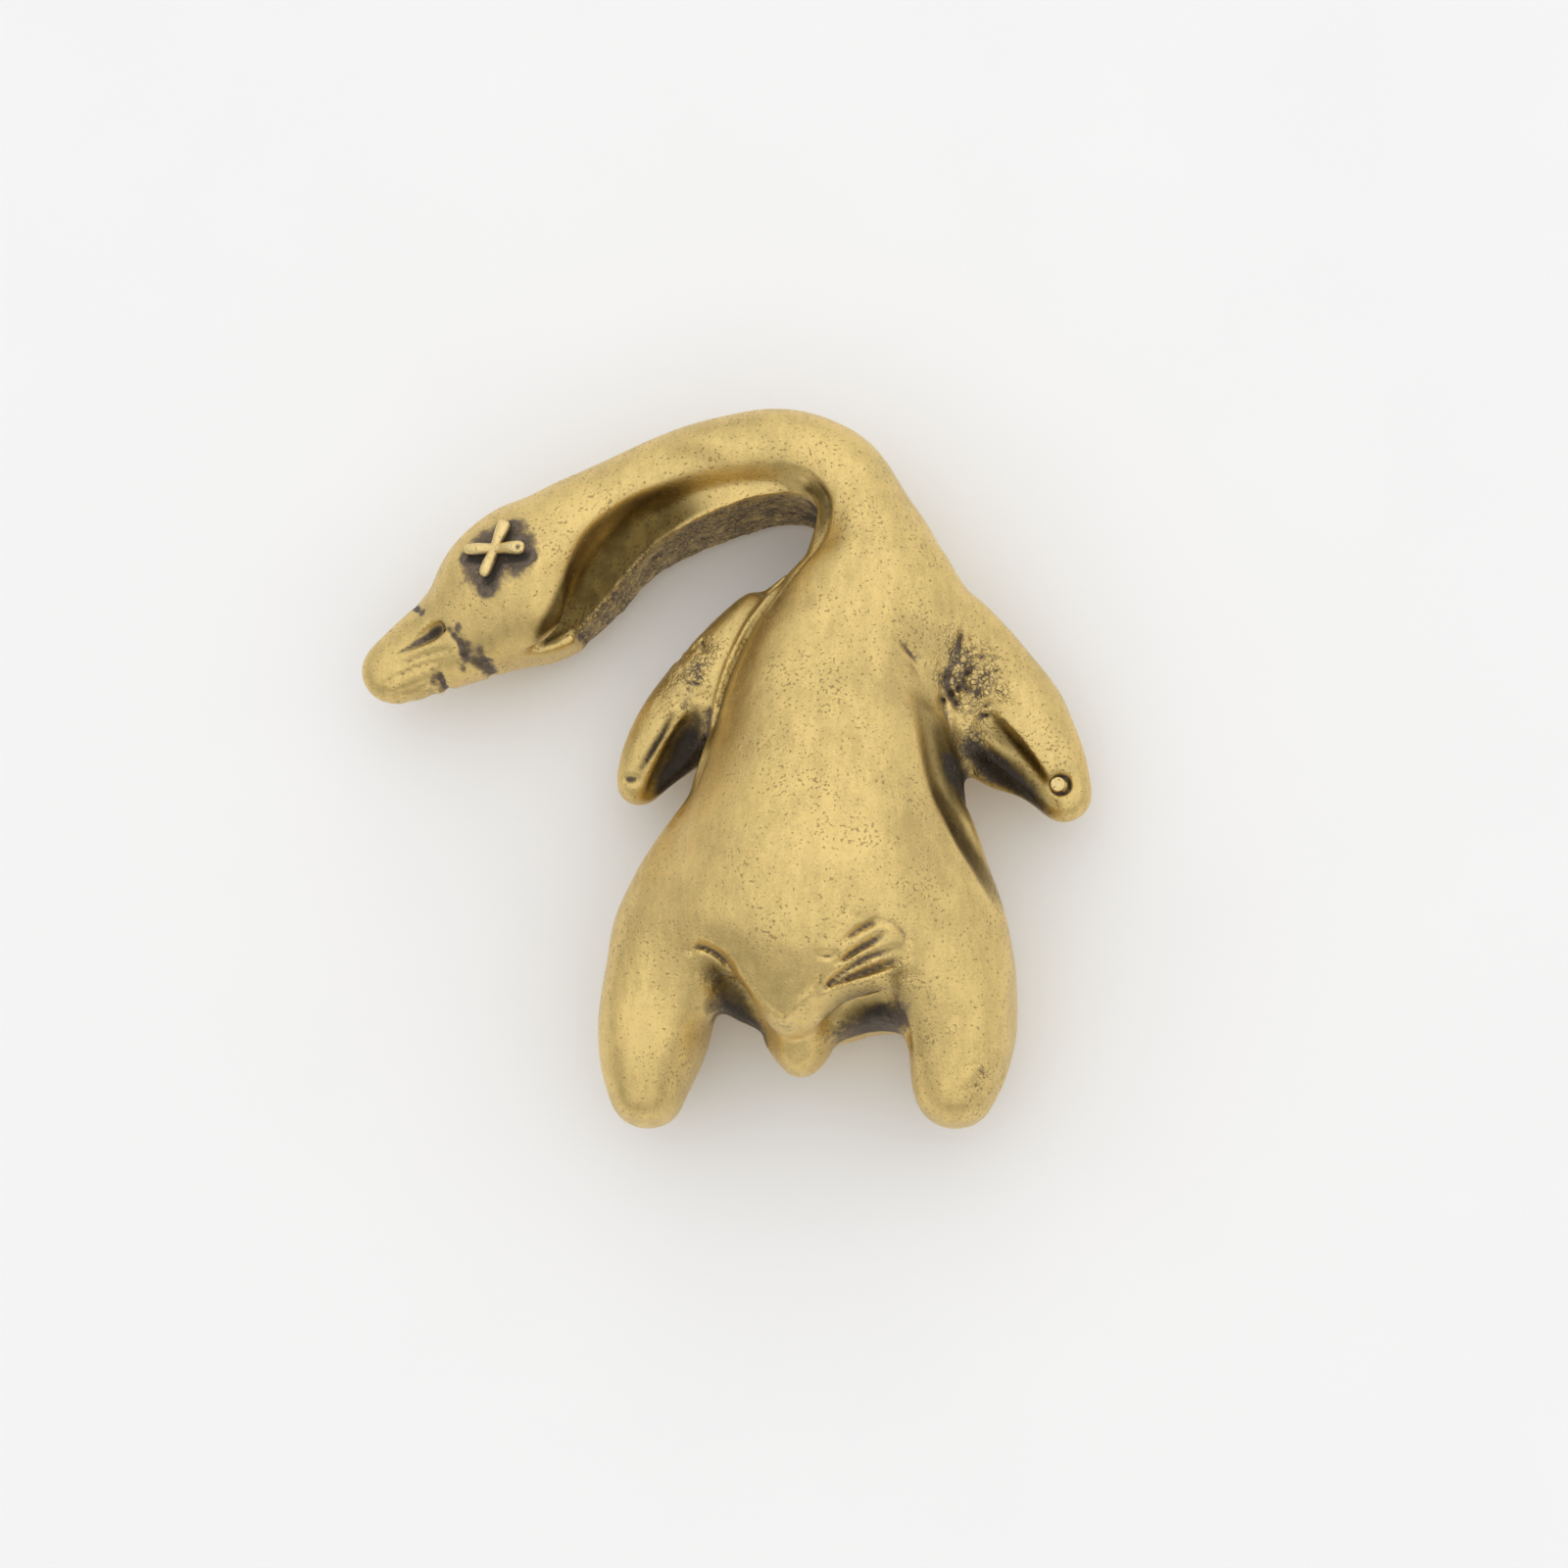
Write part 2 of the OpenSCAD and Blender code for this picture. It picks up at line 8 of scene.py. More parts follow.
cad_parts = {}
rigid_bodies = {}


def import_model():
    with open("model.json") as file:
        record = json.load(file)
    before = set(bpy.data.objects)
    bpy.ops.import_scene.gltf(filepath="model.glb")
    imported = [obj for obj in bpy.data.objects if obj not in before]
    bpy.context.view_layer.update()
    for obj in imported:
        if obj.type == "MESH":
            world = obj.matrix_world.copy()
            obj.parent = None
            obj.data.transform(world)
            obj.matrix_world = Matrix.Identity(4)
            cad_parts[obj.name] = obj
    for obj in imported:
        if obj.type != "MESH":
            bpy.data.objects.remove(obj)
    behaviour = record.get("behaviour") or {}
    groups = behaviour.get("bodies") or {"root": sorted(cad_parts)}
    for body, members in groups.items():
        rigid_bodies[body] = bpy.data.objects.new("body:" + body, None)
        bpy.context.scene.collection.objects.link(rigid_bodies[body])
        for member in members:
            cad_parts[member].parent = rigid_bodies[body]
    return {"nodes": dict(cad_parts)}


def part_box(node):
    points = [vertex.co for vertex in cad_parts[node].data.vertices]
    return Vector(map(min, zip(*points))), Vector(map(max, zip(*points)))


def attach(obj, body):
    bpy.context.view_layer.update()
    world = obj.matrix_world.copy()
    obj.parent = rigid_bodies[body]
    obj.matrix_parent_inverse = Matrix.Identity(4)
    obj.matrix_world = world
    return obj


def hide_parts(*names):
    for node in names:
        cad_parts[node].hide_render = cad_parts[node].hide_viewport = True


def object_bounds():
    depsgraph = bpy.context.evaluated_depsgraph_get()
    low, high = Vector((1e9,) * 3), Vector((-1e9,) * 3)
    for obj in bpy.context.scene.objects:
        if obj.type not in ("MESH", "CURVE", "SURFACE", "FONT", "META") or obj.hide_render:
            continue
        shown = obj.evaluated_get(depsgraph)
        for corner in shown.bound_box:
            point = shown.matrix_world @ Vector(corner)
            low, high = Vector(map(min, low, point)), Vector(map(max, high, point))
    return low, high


for leftover in list(bpy.data.objects):      # the start-up cube, lamp and camera
    bpy.data.objects.remove(leftover)
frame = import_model()
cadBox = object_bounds()
cadNodes = frame["nodes"]

# The duck is worked in millimetres as one block of clay, a grid of distances to its skin,
# and cut into the CAD's own members at the end.
mm = 0.001
clay = dict(
    voxel=0.2,
    margin=1.6,      # air round the duck
    reach=7.0,       # how far from the skin the distances are kept
    soften=0.75,     # how far the facets of the CAD are rubbed down
)
voxel = clay["voxel"]
spineNodes = ["torso", "neck", "head", "upper_bill", "lower_bill"]
memberNodes = spineNodes + ["left_wing", "right_wing", "left_leg", "right_leg", "tail"]


def castMesh(names):
    # The triangles of CAD members in millimetres, with corners that meet made one.
    corners, triangles, count = [], [], 0
    for name in names:
        mesh = cadNodes[name].data
        mesh.calc_loop_triangles()
        co = np.zeros(len(mesh.vertices) * 3, np.float32)
        mesh.vertices.foreach_get("co", co)
        tri = np.zeros(len(mesh.loop_triangles) * 3, np.int32)
        mesh.loop_triangles.foreach_get("vertices", tri)
        corners.append(co.reshape(-1, 3) / mm)
        triangles.append(tri.reshape(-1, 3) + count)
        count += len(mesh.vertices)
    corners, triangles = np.concatenate(corners), np.concatenate(triangles)
    keys = np.round(corners * 2000).astype(np.int64)      # to half a micron
    _, first, same = np.unique(keys, axis=0, return_index=True, return_inverse=True)
    return corners[first].astype(np.float64), same.reshape(-1)[triangles].astype(np.uint32)


everyCorner, _ = castMesh(memberNodes)
lowCell = np.floor((everyCorner.min(0) - clay["margin"]) / voxel).astype(int)
highCell = np.ceil((everyCorner.max(0) + clay["margin"]) / voxel).astype(int)
shape = tuple(int(n) for n in highCell - lowCell + 1)
gridX, gridY, gridZ = [
    ((lowCell[a] + np.arange(shape[a])) * voxel).astype(np.float32) for a in range(3)
]
planX, planY = gridX[:, None], gridY[None, :]
deepZ = gridZ[None, None, :]
print("clay block", shape)


def levelSet(corners, **faces):
    # Distances to a skin of triangles or quads, kept near it only.
    spacing = openvdb.createLinearTransform(voxel)
    return openvdb.FloatGrid.createLevelSetFromPolygons(
        corners, transform=spacing, halfWidth=clay["reach"] / voxel, **faces
    )


def toArray(grid):
    field = np.full(shape, clay["reach"], np.float32)
    grid.copyToArray(field, ijk=tuple(int(n) for n in lowCell))
    return field


def toGrid(field):
    grid = openvdb.FloatGrid(clay["reach"])
    grid.transform = openvdb.createLinearTransform(voxel)
    grid.copyFromArray(field, ijk=tuple(int(n) for n in lowCell))
    return grid


def distanceTo(*names):
    # Members that meet face to face leave thin walls inside, so the outer skin is taken once more.
    corners, triangles = castMesh(names)
    grid = levelSet(corners, triangles=triangles)
    if len(names) > 1:
        skin, quads = grid.convertToQuads(isovalue=0.02)
        grid = levelSet(skin.astype(np.float64), quads=quads)
    return toArray(grid)


def soften(field, width):
    # A blur along each axis in turn, by a bell curve of this width.
    taps = int(math.ceil(2.2 * width / voxel))
    weights = np.exp(-0.5 * (np.arange(-taps, taps + 1) * voxel / width) ** 2)
    weights /= weights.sum()
    for axis in range(field.ndim):
        pad = [(taps, taps) if a == axis else (0, 0) for a in range(field.ndim)]
        wide = np.pad(field, pad, mode="edge")
        out = np.zeros_like(field)
        for t, weight in enumerate(weights):
            part = [slice(None)] * field.ndim
            part[axis] = slice(t, t + field.shape[axis])
            out += wide[tuple(part)] * np.float32(weight)
        field = out
    return field


def step(value, low, high):
    # 0 up to low and 1 from high on, with a smooth rise between.
    t = np.clip((value - low) / (high - low), 0, 1)
    return t * t * (3 - 2 * t)


def melt(a, b, width):
    # Both shapes in one, with a round fillet where they meet.
    h = np.clip(0.5 + 0.5 * (b - a) / width, 0, 1)
    return b + (a - b) * h - width * h * (1 - h)


def bite(a, b, width):
    # What lies in both shapes, with a round edge.
    return -melt(-a, -b, width)


def smoothPath(points, each=5):
    # A smooth curve through all of the points.
    rows = np.array(points, float)
    ends = np.vstack([2 * rows[0] - rows[1], rows, 2 * rows[-1] - rows[-2]])
    out = []
    for i in range(1, len(ends) - 2):
        a, b, c, d = ends[i - 1:i + 3]
        for t in np.arange(each) / each:
            out.append(
                b + (c - a) * t / 2 + (2 * a - 5 * b + 4 * c - d) * t**2 / 2
                + (3 * b - a - 3 * c + d) * t**3 / 2
            )
    return np.array(out + [rows[-1]])


def windowOf(path, room):
    # The cells round a path, so that a tool works only there.
    cells = []
    for axis, places in enumerate((gridX, gridY, gridZ)[:path.shape[1]]):
        first = int(np.searchsorted(places, path[:, axis].min() - room))
        last = int(np.searchsorted(places, path[:, axis].max() + room))
        cells.append(slice(max(first - 1, 0), min(last + 1, len(places))))
    return tuple(cells)


def beside(points, room):
    # In plan: how far off the path each place is, how far along it, and on which side.
    path = smoothPath(np.array(points)[:, :2])
    window = windowOf(path, room)
    x, y = gridX[window[0]][:, None], gridY[window[1]][None, :]
    best = np.full((x.shape[0], y.shape[1]), 1e9, np.float32)
    share, side = np.zeros_like(best), np.zeros_like(best)
    for i in range(len(path) - 1):
        (ax, ay), (bx, by) = path[i], path[i + 1]
        length = math.hypot(bx - ax, by - ay)
        ux, uy = (bx - ax) / length, (by - ay) / length
        t = np.clip((x - ax) * ux + (y - ay) * uy, 0, length)
        px, py = x - ax - ux * t, y - ay - uy * t
        gap = np.sqrt(px * px + py * py)
        near = gap < best
        best = np.where(near, gap, best)
        share = np.where(near, (i + t / length) / (len(path) - 1), share)
        side = np.where(near, np.sign(ux * (y - ay) - uy * (x - ax)), side)
    return window, best, share, side


def rod(points, room=3.0):
    # A round rod through points of x, y, z and radius, as distances in the cells round it.
    path = smoothPath(points)
    window = windowOf(path[:, :3], room + path[:, 3].max())
    x = gridX[window[0]][:, None, None]
    y = gridY[window[1]][None, :, None]
    z = gridZ[window[2]][None, None, :]
    best = np.full((x.shape[0], y.shape[1], z.shape[2]), 1e9, np.float32)
    for a, b in zip(path[:-1], path[1:]):
        way = b[:3] - a[:3]
        length = float(np.linalg.norm(way))
        way = way / length
        t = np.clip((x - a[0]) * way[0] + (y - a[1]) * way[1] + (z - a[2]) * way[2], 0, length)
        gap = np.sqrt(
            (x - a[0] - way[0] * t) ** 2 + (y - a[1] - way[1] * t) ** 2 + (z - a[2] - way[2] * t) ** 2
        )
        best = np.minimum(best, gap - (a[3] + (b[3] - a[3]) * t / length))
    return window, best


def carve(points, width):
    window, tool = rod(points)
    body[window] = bite(body[window], -tool, width)


def add(points, width):
    window, tool = rod(points)
    body[window] = melt(body[window], tool, width)


def cutThrough(points, reach, top, width):
    # A cut straight down along a path in plan, narrower at both ends.
    window, off, share, _ = beside(points, 3 * reach)
    inside = reach * np.maximum(np.sin(np.pi * share), 0.02) ** 0.35 - off
    body[window] = bite(body[window], np.minimum(inside[:, :, None], top - deepZ), width)


def calm(points, reach, width):
    # The skin of the upper side is smoothed along a path.
    window, off, _, _ = beside(points, 2 * reach)
    change = soften(body[window], width) - body[window]
    body[window] += change * np.exp(-((off / reach) ** 4))[:, :, None] * step(deepZ, 6.5, 8.5)


def press(points, width, depth, above=6.0, taper=0.5, ink=0.0, grow=0.0):
    # A soft groove in the upper side, or a ridge where the depth is negative, with patina in it.
    window, off, share, _ = beside(points, 3 * width)
    run = np.sin(np.pi * np.clip(share, 0.02, 0.98)) ** taper
    wide = width * (1 - grow * (1 - share))
    amount = depth * run * np.exp(-((off / wide) ** 2))
    body[window] += amount[:, :, None] * step(deepZ, above - 1.5, above)
    inkPlan[window] = np.maximum(inkPlan[window], ink * run * np.exp(-((off / wide / 0.85) ** 2)))


def shade(points, width, strength, plan=None, oneSided=False):
    # Painted olive shade along a path on the upper side, or on the left of the path only, with a crisp
    # edge.
    plan = paintedShadePlan if plan is None else plan
    window, off, share, side = beside(points, 3 * width)
    run = np.maximum(np.sin(np.pi * share), 0) ** 0.5
    if oneSided:
        across = step(off * side, -0.15, 0.35) * step(width - off * side, -0.6, 0.6)
    else:
        across = np.exp(-((off / width) ** 2))
    plan[window] = np.maximum(plan[window], strength * run * across)


def lumps(size, seed):
    # Smooth random unevenness between -1 and 1, with lumps of this size.
    random = np.random.default_rng(seed)
    places = (gridX, gridY, gridZ)
    field = random.uniform(-1, 1, [int((p[-1] - p[0]) / size) + 3 for p in places]).astype(np.float32)
    for axis, p in enumerate(places):
        at = (p - p[0]) / size
        base = np.floor(at).astype(int)
        t = step(at - base, 0, 1).astype(np.float32)
        t = t.reshape([-1 if a == axis else 1 for a in range(3)])
        field = np.take(field, base, axis) * (1 - t) + np.take(field, base + 1, axis) * t
    return field


def spots(rows):
    # A soft mask in plan, from spots of x, y and radius.
    mask = np.zeros((shape[0], shape[1]), np.float32)
    for x, y, radius in rows:
        gap = ((planX - x) ** 2 + (planY - y) ** 2) / radius**2
        mask = np.maximum(mask, np.exp(-(gap**1.5)))
    return mask


print("distances to the CAD members")
memberDistance = {name: distanceTo(name) for name in memberNodes}
inkPlan = np.zeros((shape[0], shape[1]), np.float32)      # dark patina, seen in plan
paintedShadePlan = np.zeros_like(inkPlan)                       # painted olive shade, seen in plan
body = soften(distanceTo(*spineNodes), clay["soften"])

# The CAD's edges across the neck, by the head and at the top of the bend, are smoothed out.
calm([(-19.8, 17.4), (-19.3, 14.9), (-19.0, 12.6)], 2.3, 0.8)
calm([(-6.4, 24.4), (-2.8, 24.8), (0.2, 23.2), (1.0, 20.8)], 1.8, 0.7)

# The inner side of the bend is a plain wall with a thin lip along its top. The lip runs up the neck,
# round the top of the gap and down the torso, with a channel beside it.
bend = dict(
    path=[
        (-22.0, 9.7), (-20.8, 10.8), (-18.9, 12.1), (-17.3, 13.5), (-15.8, 15.1), (-14.2, 17.0),
        (-12.5, 18.5), (-10.4, 19.6), (-8.9, 20.3), (-7.0, 21.0), (-5.3, 21.6), (-3.7, 21.9),
        (-2.2, 21.9), (-0.9, 21.5), (-0.1, 20.6), (-0.2, 19.2), (-0.6, 18.0), (-1.6, 16.4),
        (-2.9, 14.8), (-4.8, 12.4), (-5.9, 10.6), (-7.2, 7.8), (-8.1, 5.0), (-8.9, 1.5),
        (-9.9, -1.1), (-11.2, -4.1), (-13.2, -6.9),
    ],
    lip=(7.4, 9.7),        # height of the lip by the head and at the top of the bend
    foot=(3.2, 1.1),       # height at which the wall starts at both places
    thick=3.2,             # how far into the metal the wall is filled up
    undercut=0.7,          # how fast the neck draws in below the wall's foot
    top=16.0,              # nothing above this height is cut
    edge=0.35,             # how round the lip's edge is
    channel=(0.95, 1.75, 2.45),     # the channel's middle from the wall and above the lip, and its radius
    shallow=(1.3, 2.6),    # how much less deep it is by the head and past the top of the bend
    channelEdge=1.1,       # how round the channel's edge is
    away=4.0,              # so far off that nothing changes
)
window, off, share, side = beside(bend["path"], 7.0)
inward = (off * side)[:, :, None]      # distance from the wall into the metal
share = share[:, :, None]
part = body[window]
offNeck = 1 - step(share, 0.05, 0.15) * step(0.56 - share, 0.0, 0.06)
onWall = step(share, 0.03, 0.09) * step(0.97 - share, 0.0, 0.08)
climb = step(share, 0.04, 0.36)
lip, foot = [ends[0] + (ends[1] - ends[0]) * climb for ends in (bend["lip"], bend["foot"])]
block = np.maximum(np.maximum(-inward, inward - bend["thick"]), np.maximum(deepZ - lip, foot - deepZ))
part = melt(part, block + offNeck * bend["away"], 0.5)
wall = inward - bend["undercut"] * np.maximum(foot - deepZ, 0) * (1 - offNeck)
part = bite(part, -wall - (1 - onWall + (deepZ > bend["top"])) * bend["away"], bend["edge"])
grown = step(share, 0.0, 0.2)          # the channel starts narrow by the head
across, above, radius = [size * (0.5 + 0.5 * grown) for size in bend["channel"]]
byHead, pastTop = bend["shallow"]
shallow = byHead * (1 - step(share, -0.01, 0.12)) + pastTop * (1 - step(0.40 - share, 0.0, 0.22))
channel = np.sqrt((inward - across) ** 2 + (deepZ - lip - above) ** 2) - radius
body[window] = bite(part, -channel - shallow, bend["channelEdge"])
wallPlan = np.zeros_like(inkPlan)
wallPlan[window] = np.exp(-((off / 0.55) ** 2)) * onWall[:, :, 0]
lipPlan = np.zeros_like(inkPlan)
lipPlan[window] = lip[:, :, 0]
inward, share = inward[:, :, 0], share[:, :, 0]
# Painted olive shade in the neck's channel beside the lip, and in a band along the torso's edge inside the
# lip.
channelWidth = 0.5 + 2.7 * step(share, 0.0, 0.17)
channelShade = step(inward, 0.1, 0.5) * step(channelWidth - inward, -0.5, 0.7)
channelShade *= step(share, 0.0, 0.05) * step(0.39 - share, 0.0, 0.16)
bandShade = step(inward, 0.1, 0.35) * step(1.4 - inward, 0.0, 0.6)
bandShade *= step(share, 0.47, 0.51) * (0.25 + 0.75 * step(0.66 - share, 0.0, 0.1))
bandShade *= step(0.95 - share, 0.0, 0.1)
paintedShadePlan[window] = np.maximum(channelShade, bandShade * 0.8)
print("wall and channel")

# How far each member flows into the body on its lower side and on its upper side.
fillets = dict(
    left_wing=(1.4, 4.6), right_wing=(0.6, 1.8), left_leg=(1.4, 4.4), right_leg=(1.4, 4.4), tail=(1.2, 2.6)
)
high = step(deepZ, 6.0, 12.0)
for name, (below, above) in fillets.items():
    body = melt(body, soften(memberDistance[name], clay["soften"]), below + (above - below) * high)
print("members melted together")

# Rods are points of x, y, z and radius, and paths in plan are points of x and y.
# The duck's right wing flows into the torso, and has a narrow slot, a thin ridge and a deep pit.
rightWing = dict(
    root=[
        (-2.7, 16.0, 7.4, 0.2), (-3.6, 14.9, 7.5, 0.45), (-4.6, 13.7, 7.6, 0.55), (-5.9, 12.3, 7.8, 0.85),
        (-7.4, 10.2, 8.1, 1.2), (-8.4, 7.4, 8.2, 1.3), (-9.2, 5.2, 7.4, 1.1), (-9.8, 3.2, 6.0, 0.8),
    ],
    slot=[(-10.8, 5.1, 9.6, 0.3), (-11.5, 4.1, 9.2, 0.52), (-12.3, 3.0, 8.8, 0.52), (-13.3, 1.5, 8.1, 0.3)],
    pit=[
        (-9.4, 5.2, 9.8, 0.5), (-9.8, 4.0, 9.0, 0.95), (-10.6, 2.4, 8.2, 1.15), (-11.8, 0.9, 7.2, 1.0),
        (-12.9, -0.4, 6.4, 0.5),
    ],
    ridge=[(-11.0, 4.6), (-12.0, 2.9), (-13.3, 0.9)],
    nick=[(-14.8, 0.8), (-13.9, 0.7)],
)
add(rightWing["root"], 0.8)

# The belly ends in a point above the tail, with a hollow on each side.
rump = dict(
    point=[
        (-0.8, -11.0, 14.4, 4.6), (-1.3, -15.0, 13.0, 3.6), (-1.9, -17.4, 12.0, 2.0),
        (-2.1, -18.7, 11.4, 0.7),
    ],
    rightHollow=[
        (-6.4, -16.7, 11.8, 1.0), (-6.1, -17.2, 11.3, 1.4), (-5.6, -18.0, 10.4, 1.7),
        (-5.2, -20.0, 8.8, 1.4),
    ],
    leftHollow=[
        (1.2, -18.4, 11.6, 0.9), (2.8, -18.0, 12.2, 1.5), (4.6, -18.0, 12.2, 1.7), (5.4, -19.6, 10.8, 1.5),
    ],
    leftCut=[(1.2, -22.4), (2.0, -20.7), (3.2, -19.9), (4.5, -19.9), (5.1, -21.0), (5.0, -23.0)],
    cutReach=1.4, cutTop=10.4,
    rightFold=[(-7.3, -14.3, 14.0, 0.7), (-6.6, -14.8, 13.9, 0.8), (-6.0, -15.2, 13.7, 0.7)],
    foldEnd=[(-7.3, -14.4), (-6.3, -15.6), (-5.7, -16.8)],
    lip=[
        (-5.8, -14.6), (-4.9, -16.0), (-4.0, -17.3), (-3.2, -18.2), (-2.1, -18.8), (-1.2, -18.1),
        (0.1, -17.2), (1.6, -16.7), (3.4, -16.3), (5.2, -15.8),
    ],
    tailTop=[(-2.9, -18.7), (-2.1, -19.2), (-1.3, -18.7)],
)
add(rump["point"], 1.0)
carve(rump["rightHollow"], 0.8)
carve(rump["leftHollow"], 0.8)
cutThrough(rump["leftCut"], rump["cutReach"], rump["cutTop"], 1.0)
add(rump["rightFold"], 0.8)
calm(rump["foldEnd"], 1.1, 0.6)
press(rump["lip"], 0.34, -0.24, above=9.0, taper=0.3)
press(rump["tailTop"], 0.22, 0.16, above=8.0, ink=0.5)

# A low keel down the belly, with shallow furrows: each has a path, a width and a depth.
bellyLines = [
    ([(2.6, 26.8), (3.9, 22.9), (3.2, 19.6), (2.3, 16.3), (1.6, 11.4)], 1.0, -0.22),
    ([(1.9, 12.0), (1.5, 5.0), (1.6, -1.2), (1.4, -5.6), (0.9, -9.9), (0.7, -13.9)], 0.8, -0.22),
    ([(0.5, 7.0), (0.1, -1.0), (-0.2, -6.0), (-0.6, -11.0)], 1.0, 0.14),
    ([(2.7, 15.6), (1.9, 12.2), (0.8, 8.6)], 0.6, 0.22),
    ([(4.6, 15.0), (4.2, 10.0), (3.9, 5.0)], 0.8, 0.14),
    ([(5.3, 20.4), (5.6, 15.0), (5.4, 10.6)], 0.8, -0.12),
]
for points, width, depth in bellyLines:
    press(points, width, depth)

# A thin lip with a groove inside it goes on down the torso past the wing, with painted olive shade in the
# groove.
torsoLip = np.array(bend["path"][17:26])
press(torsoLip + (0.20, 0.1), 0.26, -0.16, above=8.2, taper=0.3)
press(torsoLip + (0.95, 0.45), 0.45, 0.16, above=8.2, taper=0.4)
shade(torsoLip + (0.80, 0.38), 0.42, 0.62)

# The duck's left wing: the skin folds beside the torso, and the inner face is a shelf below the ridge.
leftWing = dict(
    flank=[
        (7.7, 7.0, 15.4, 0.5), (9.0, 4.4, 14.8, 1.5), (10.5, 0.9, 14.2, 2.6), (11.6, -2.4, 14.0, 2.5),
        (12.9, -5.8, 13.4, 1.9), (14.0, -9.0, 12.8, 0.8),
    ],
    flankEdge=[
        (6.7, 6.8), (7.3, 3.6), (7.8, 0.0), (8.3, -2.4), (9.1, -4.1), (10.1, -6.2), (11.4, -8.4),
        (12.8, -11.0),
    ],
    scoop=[
        (11.2, 5.0, 10.4, 0.5), (12.3, 3.8, 9.7, 1.05), (13.6, 2.2, 9.0, 1.3), (15.0, 0.4, 8.3, 1.25),
        (16.3, -1.2, 7.6, 0.9), (17.0, -2.2, 7.2, 0.5),
    ],
    scoopHead=[(10.7, 4.8), (11.7, 4.7), (12.6, 4.3)],
    shelf=[
        (10.6, 0.4, 8.2, 1.0), (12.0, 0.1, 7.4, 1.2), (13.4, -1.0, 6.6, 1.2), (15.0, -2.8, 5.4, 0.9),
        (16.0, -3.8, 4.8, 0.5),
    ],
    folds=[
        ([(6.1, 9.3), (6.8, 8.5), (7.6, 7.6)], 0.22, 0.34),
        ([(6.6, 8.0), (7.1, 7.4), (7.8, 6.6)], 0.20, 0.22),
        ([(6.9, 9.0), (7.5, 8.3), (8.0, 7.9)], 0.18, 0.20),
        ([(10.75, 11.1), (10.4, 9.8), (10.2, 8.5)], 0.17, 0.28),
        ([(10.3, 8.4), (9.7, 7.8), (9.4, 6.8), (9.7, 5.9), (10.2, 5.2)], 0.22, 0.26),
        ([(10.9, 8.6), (10.8, 7.4), (10.4, 6.4)], 0.18, 0.20),
        ([(11.0, 5.0), (12.2, 4.6), (13.3, 5.2)], 0.18, 0.18),
        ([(8.9, 6.6), (9.2, 5.0), (9.6, 3.2), (9.9, 1.4)], 0.22, 0.18),
        ([(9.0, -1.0), (10.0, -4.0), (11.4, -7.2), (12.8, -10.4)], 0.40, 0.14),
        ([(11.9, -3.6), (13.0, -6.6), (13.9, -9.2)], 0.28, 0.12),
    ],
)
carve(leftWing["flank"], 0.8)
carve(leftWing["scoop"], 0.3)
carve(leftWing["shelf"], 0.5)
calm(leftWing["scoopHead"], 0.9, 0.45)
carve(rightWing["slot"], 0.2)
carve(rightWing["pit"], 0.3)

# Gouges beside the thighs with small nicks and raised edges round them, and the folds of the wing.
thighs = dict(
    slashes=[
        ([(0.8, -16.7), (2.7, -16.1), (4.5, -15.5), (6.3, -14.8)], 0.44, 0.55),
        ([(1.1, -16.4), (3.1, -15.3), (4.3, -14.7), (6.1, -14.2)], 0.34, 0.5),
        ([(2.0, -15.2), (3.6, -14.2), (5.2, -13.4)], 0.36, 0.5),
        ([(2.4, -13.9), (3.7, -12.9), (4.8, -12.4)], 0.30, 0.40),
        ([(-8.8, -13.9), (-8.2, -13.5), (-6.8, -14.1), (-5.7, -15.1)], 0.30, 0.32),
    ],
    nicks=[
        ([(4.8, -12.4), (6.0, -12.6), (6.7, -13.5), (6.5, -14.6)], 0.22, 0.26),
        ([(0.3, -17.2), (0.6, -16.3), (0.8, -15.4)], 0.20, 0.26),
        ([(0.3, -17.2), (1.0, -16.8), (1.4, -16.5)], 0.18, 0.22),
        ([(0.6, -14.7), (1.2, -14.8), (1.9, -14.6)], 0.22, 0.26),
        ([(2.4, -12.2), (2.6, -11.7), (2.8, -11.2)], 0.20, 0.20),
        ([(2.9, -11.7), (3.3, -12.1), (3.9, -12.2)], 0.18, 0.20),
    ],
    ridges=[
        ([(1.2, -16.6), (3.1, -15.7), (5.8, -14.6)], 0.2, -0.14),
        ([(1.7, -15.8), (3.4, -14.9), (5.5, -13.9)], 0.2, -0.14),
        ([(2.3, -14.6), (3.6, -13.7), (5.0, -12.9)], 0.2, -0.14),
        ([(-9.0, -13.2), (-7.7, -13.0), (-5.9, -14.4)], 0.3, -0.10),
        ([(0.6, -17.6), (2.8, -16.9), (4.8, -16.2), (6.8, -15.2)], 0.3, -0.16),
    ],
)
for points, width, depth in thighs["slashes"]:
    press(points, width, depth, taper=0.3, ink=0.78, grow=0.6)
for points, width, depth in thighs["nicks"] + leftWing["folds"]:
    press(points, width, depth, ink=min(0.8, depth * 2.4))
for points, width, depth in thighs["ridges"]:
    press(points, width, depth)

# Short random strokes crumple the skin of the armpit, the right wing and the tip of a leg.
chance = np.random.default_rng(21)
crumples = [      # middle, reach both ways, and how many strokes
    (9.8, 6.8, 1.0, 2.2, 22), (11.8, 7.4, 1.6, 2.6, 44), (12.0, 4.9, 1.5, 0.9, 14),
    (-9.7, 8.4, 1.3, 2.6, 40), (11.3, -23.3, 0.6, 1.3, 12),
]
for x, y, reachX, reachY, count in crumples:
    for _ in range(count):
        start = np.array([x, y]) + chance.uniform(-1, 1, 2) * (reachX, reachY)
        turn, length = chance.uniform(-0.5, 2.2), chance.uniform(0.4, 1.0)
        end = start + length * np.array([math.cos(turn), math.sin(turn)])
        bow = (start + end) / 2 + chance.uniform(-0.15, 0.15, 2)
        width, depth = chance.uniform(0.11, 0.15), chance.uniform(0.08, 0.17)
        press([start, bow, end], width, depth, ink=chance.uniform(0.1, 0.5))
